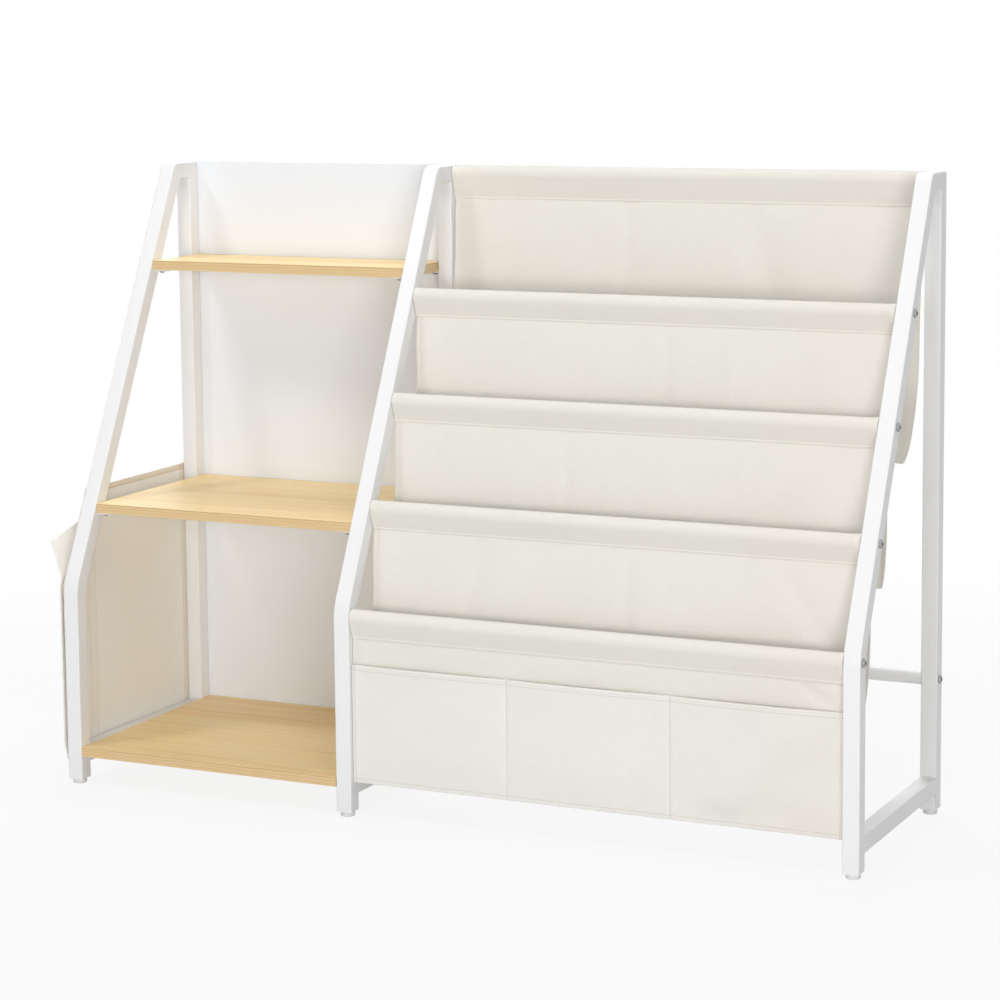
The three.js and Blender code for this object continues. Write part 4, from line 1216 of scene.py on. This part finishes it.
earLength = earLook["end"] - earLook["start"]
earColumns, earRows = (stations(length, [], earLook["widest"]) for length in (earLook["height"], earLength))
near = earLook["stitchInset"]
far, stitchEnd = earLength - near, earLook["height"] - near
for label, height in earLook["heights"].items():
    name, place = f"bag_ear_{label}", earPlaceAt(height)
    laidCloth(name, place, earColumns, earRows, bagTan, slot="bag_cloth", ply=earLook["ply"])
    run = [(near, earLook["stitchFrom"]), (near, far), (stitchEnd, far), (stitchEnd, earLook["stitchFrom"])]
    sewn(name + "_thread", place, [run], (earLook["stitchReach"],), bagThread, 91, "bag_cloth")

reach, inset = bagLook["ply"] / 2 + clothLook["stitchProud"], bagLook["stitchInset"]
runs = [*sideRuns(bagWidth, bagHigh - 1 * mm, inset), crossRun(bagWidth, topHemLine + 0.8 * mm)]
panelThread = sewn("bag_panel_thread", panelPlace, runs, (-reach, reach), bagThread, 93, "bag_cloth")
runs = [*sideRuns(bagWidth, pocketHigh - 1 * mm, inset), crossRun(bagWidth, inset),
        crossRun(bagWidth, mouthHemLine + 1.2 * mm)]
pocketThread = sewn("bag_pocket_thread", pocketPlace, runs, (reach,), bagThread, 95, "bag_cloth")
print("side bag hung")


# Pale floor: plain for light, nearly white for the eye, and white further out
stageLook = {
    "floorSize": 9.0, "floorSink": 0.1 * mm, "floorColour": screenColour(214, 214, 214), "shadowShare": 0.12,
    "whiteFrom": 0.9, "whiteAt": 1.8, "ambient": 0.27, "aim": (0, 0, 0.35),
    "lamps": {
        "key": {"azimuth": -46, "elevation": 50, "away": 4.0, "size": 0.7, "share": 0.17},
        "front": {"azimuth": 4, "elevation": 3, "away": 4.6, "size": 1.6, "share": 0.2},
        "frontRight": {"azimuth": 36, "elevation": 5, "away": 5.6, "size": 2.0, "share": 0.29},
        "top": {"azimuth": 30, "elevation": 62, "away": 3.8, "size": 2.2, "share": 0.18},
        "rim": {"azimuth": 180, "elevation": 74, "away": 3.6, "size": 1.6, "share": 0.32},
        "back": {"azimuth": -155, "elevation": 30, "away": 4.2, "size": 1.8, "share": 0.28},
    },
}
white = (1, 1, 1, 1)


def seenDirectly(paint):
    camera, glossy, through = (
        paint.node("ShaderNodeLightPath", out=f"Is {kind} Ray") for kind in ("Camera", "Glossy", "Transmission")
    )
    return camera.highest(glossy).highest(through)


def paleFloor():
    paint = Paint("pale_floor", Roughness=0.9, Base_Color=stageLook["floorColour"])
    x, y = paint.split(paint.place())[:2]
    away = ((x * x + y * y) ** 0.5).rise(stageLook["whiteFrom"], stageLook["whiteAt"])
    share = (away * stageLook["shadowShare"] + (1 - stageLook["shadowShare"])) * seenDirectly(paint)
    glow = paint.node("ShaderNodeEmission", None, {"Color": white, "Strength": 1.0})
    paint.blendOut(share, paint.shader.outputs[0], glow, paint.tree.nodes["Material Output"])
    return paint.material


floorMesh = bpy.data.meshes.new("floor")
corners = ((-1, -1), (1, -1), (1, 1), (-1, 1))
size, sink = stageLook["floorSize"], stageLook["floorSink"]
floorMesh.from_pydata([(x * size, y * size, -sink) for x, y in corners], [], [(0, 1, 2, 3)])
floorMesh.materials.append(paleFloor())
newObject("floor", floorMesh)


# White for the camera and reflections, soft ambient light for everything else
world = bpy.data.worlds.new("studio")
bpy.context.scene.world = world
world.use_nodes = True
sky = Shading(world.node_tree)
sky.tree.nodes.clear()
ambient = sky.node("ShaderNodeBackground", None, {"Color": white, "Strength": stageLook["ambient"]})
backdrop = sky.node("ShaderNodeBackground", None, {"Color": white, "Strength": 1.0})
sky.blendOut(seenDirectly(sky), ambient, backdrop, sky.tree.nodes.new("ShaderNodeOutputWorld"))


# A round soft lamp. Its share is the part of a white wall's full brightness that it gives, face on
def softLamp(name, azimuth, elevation, away, size, share):
    lamp = bpy.data.lights.new(name, "AREA")
    lamp.shape = "DISK"
    lamp.size = size
    lamp.energy = share * (math.pi * away) ** 2
    thing = linked(bpy.data.objects.new(name, lamp))
    turn, height = math.radians(azimuth), math.radians(elevation)
    way = Vector((math.sin(turn) * math.cos(height), -math.cos(turn) * math.cos(height), math.sin(height)))
    thing.location = Vector(stageLook["aim"]) + way * away
    thing.rotation_euler = (-way).to_track_quat("-Z", "Y").to_euler()


for name, values in stageLook["lamps"].items():
    softLamp(name, **values)
print("stage and lights set")


# Camera at the photograph's place; the picture is 1000 by 1000
cameraLook = {
    "fromCorner": (1.9856, -2.8910, 0.9270), "yaw": 25.59, "pitch": 7.21, "roll": -0.56,
    "lens": 102.6, "sensor": 36.0, "shiftY": -0.11, "nearest": 0.05, "farthest": 60,
}
lens = bpy.data.cameras.new("camera")
lens.lens, lens.sensor_width, lens.sensor_fit = cameraLook["lens"], cameraLook["sensor"], "HORIZONTAL"
lens.shift_y = cameraLook["shiftY"]
lens.clip_start, lens.clip_end = cameraLook["nearest"], cameraLook["farthest"]
camera = linked(bpy.data.objects.new("camera", lens))
yaw, pitch, roll = (math.radians(cameraLook[key]) for key in ("yaw", "pitch", "roll"))
level = Vector((-math.sin(yaw), math.cos(yaw), 0))
aside = Vector((math.cos(yaw), math.sin(yaw), 0))
forward = level * math.cos(pitch) - Vector((0, 0, math.sin(pitch)))
upward = aside.cross(forward)
right = aside * math.cos(roll) + upward * math.sin(roll)
top = upward * math.cos(roll) - aside * math.sin(roll)
place = Vector((unitLeft, unitFront, 0)) + Vector(cameraLook["fromCorner"])
camera.matrix_world = Matrix.Translation(place) @ Matrix((right, top, -forward)).transposed().to_4x4()
bpy.context.scene.camera = camera
bpy.context.scene.view_settings.view_transform = "Standard"
print("camera set")
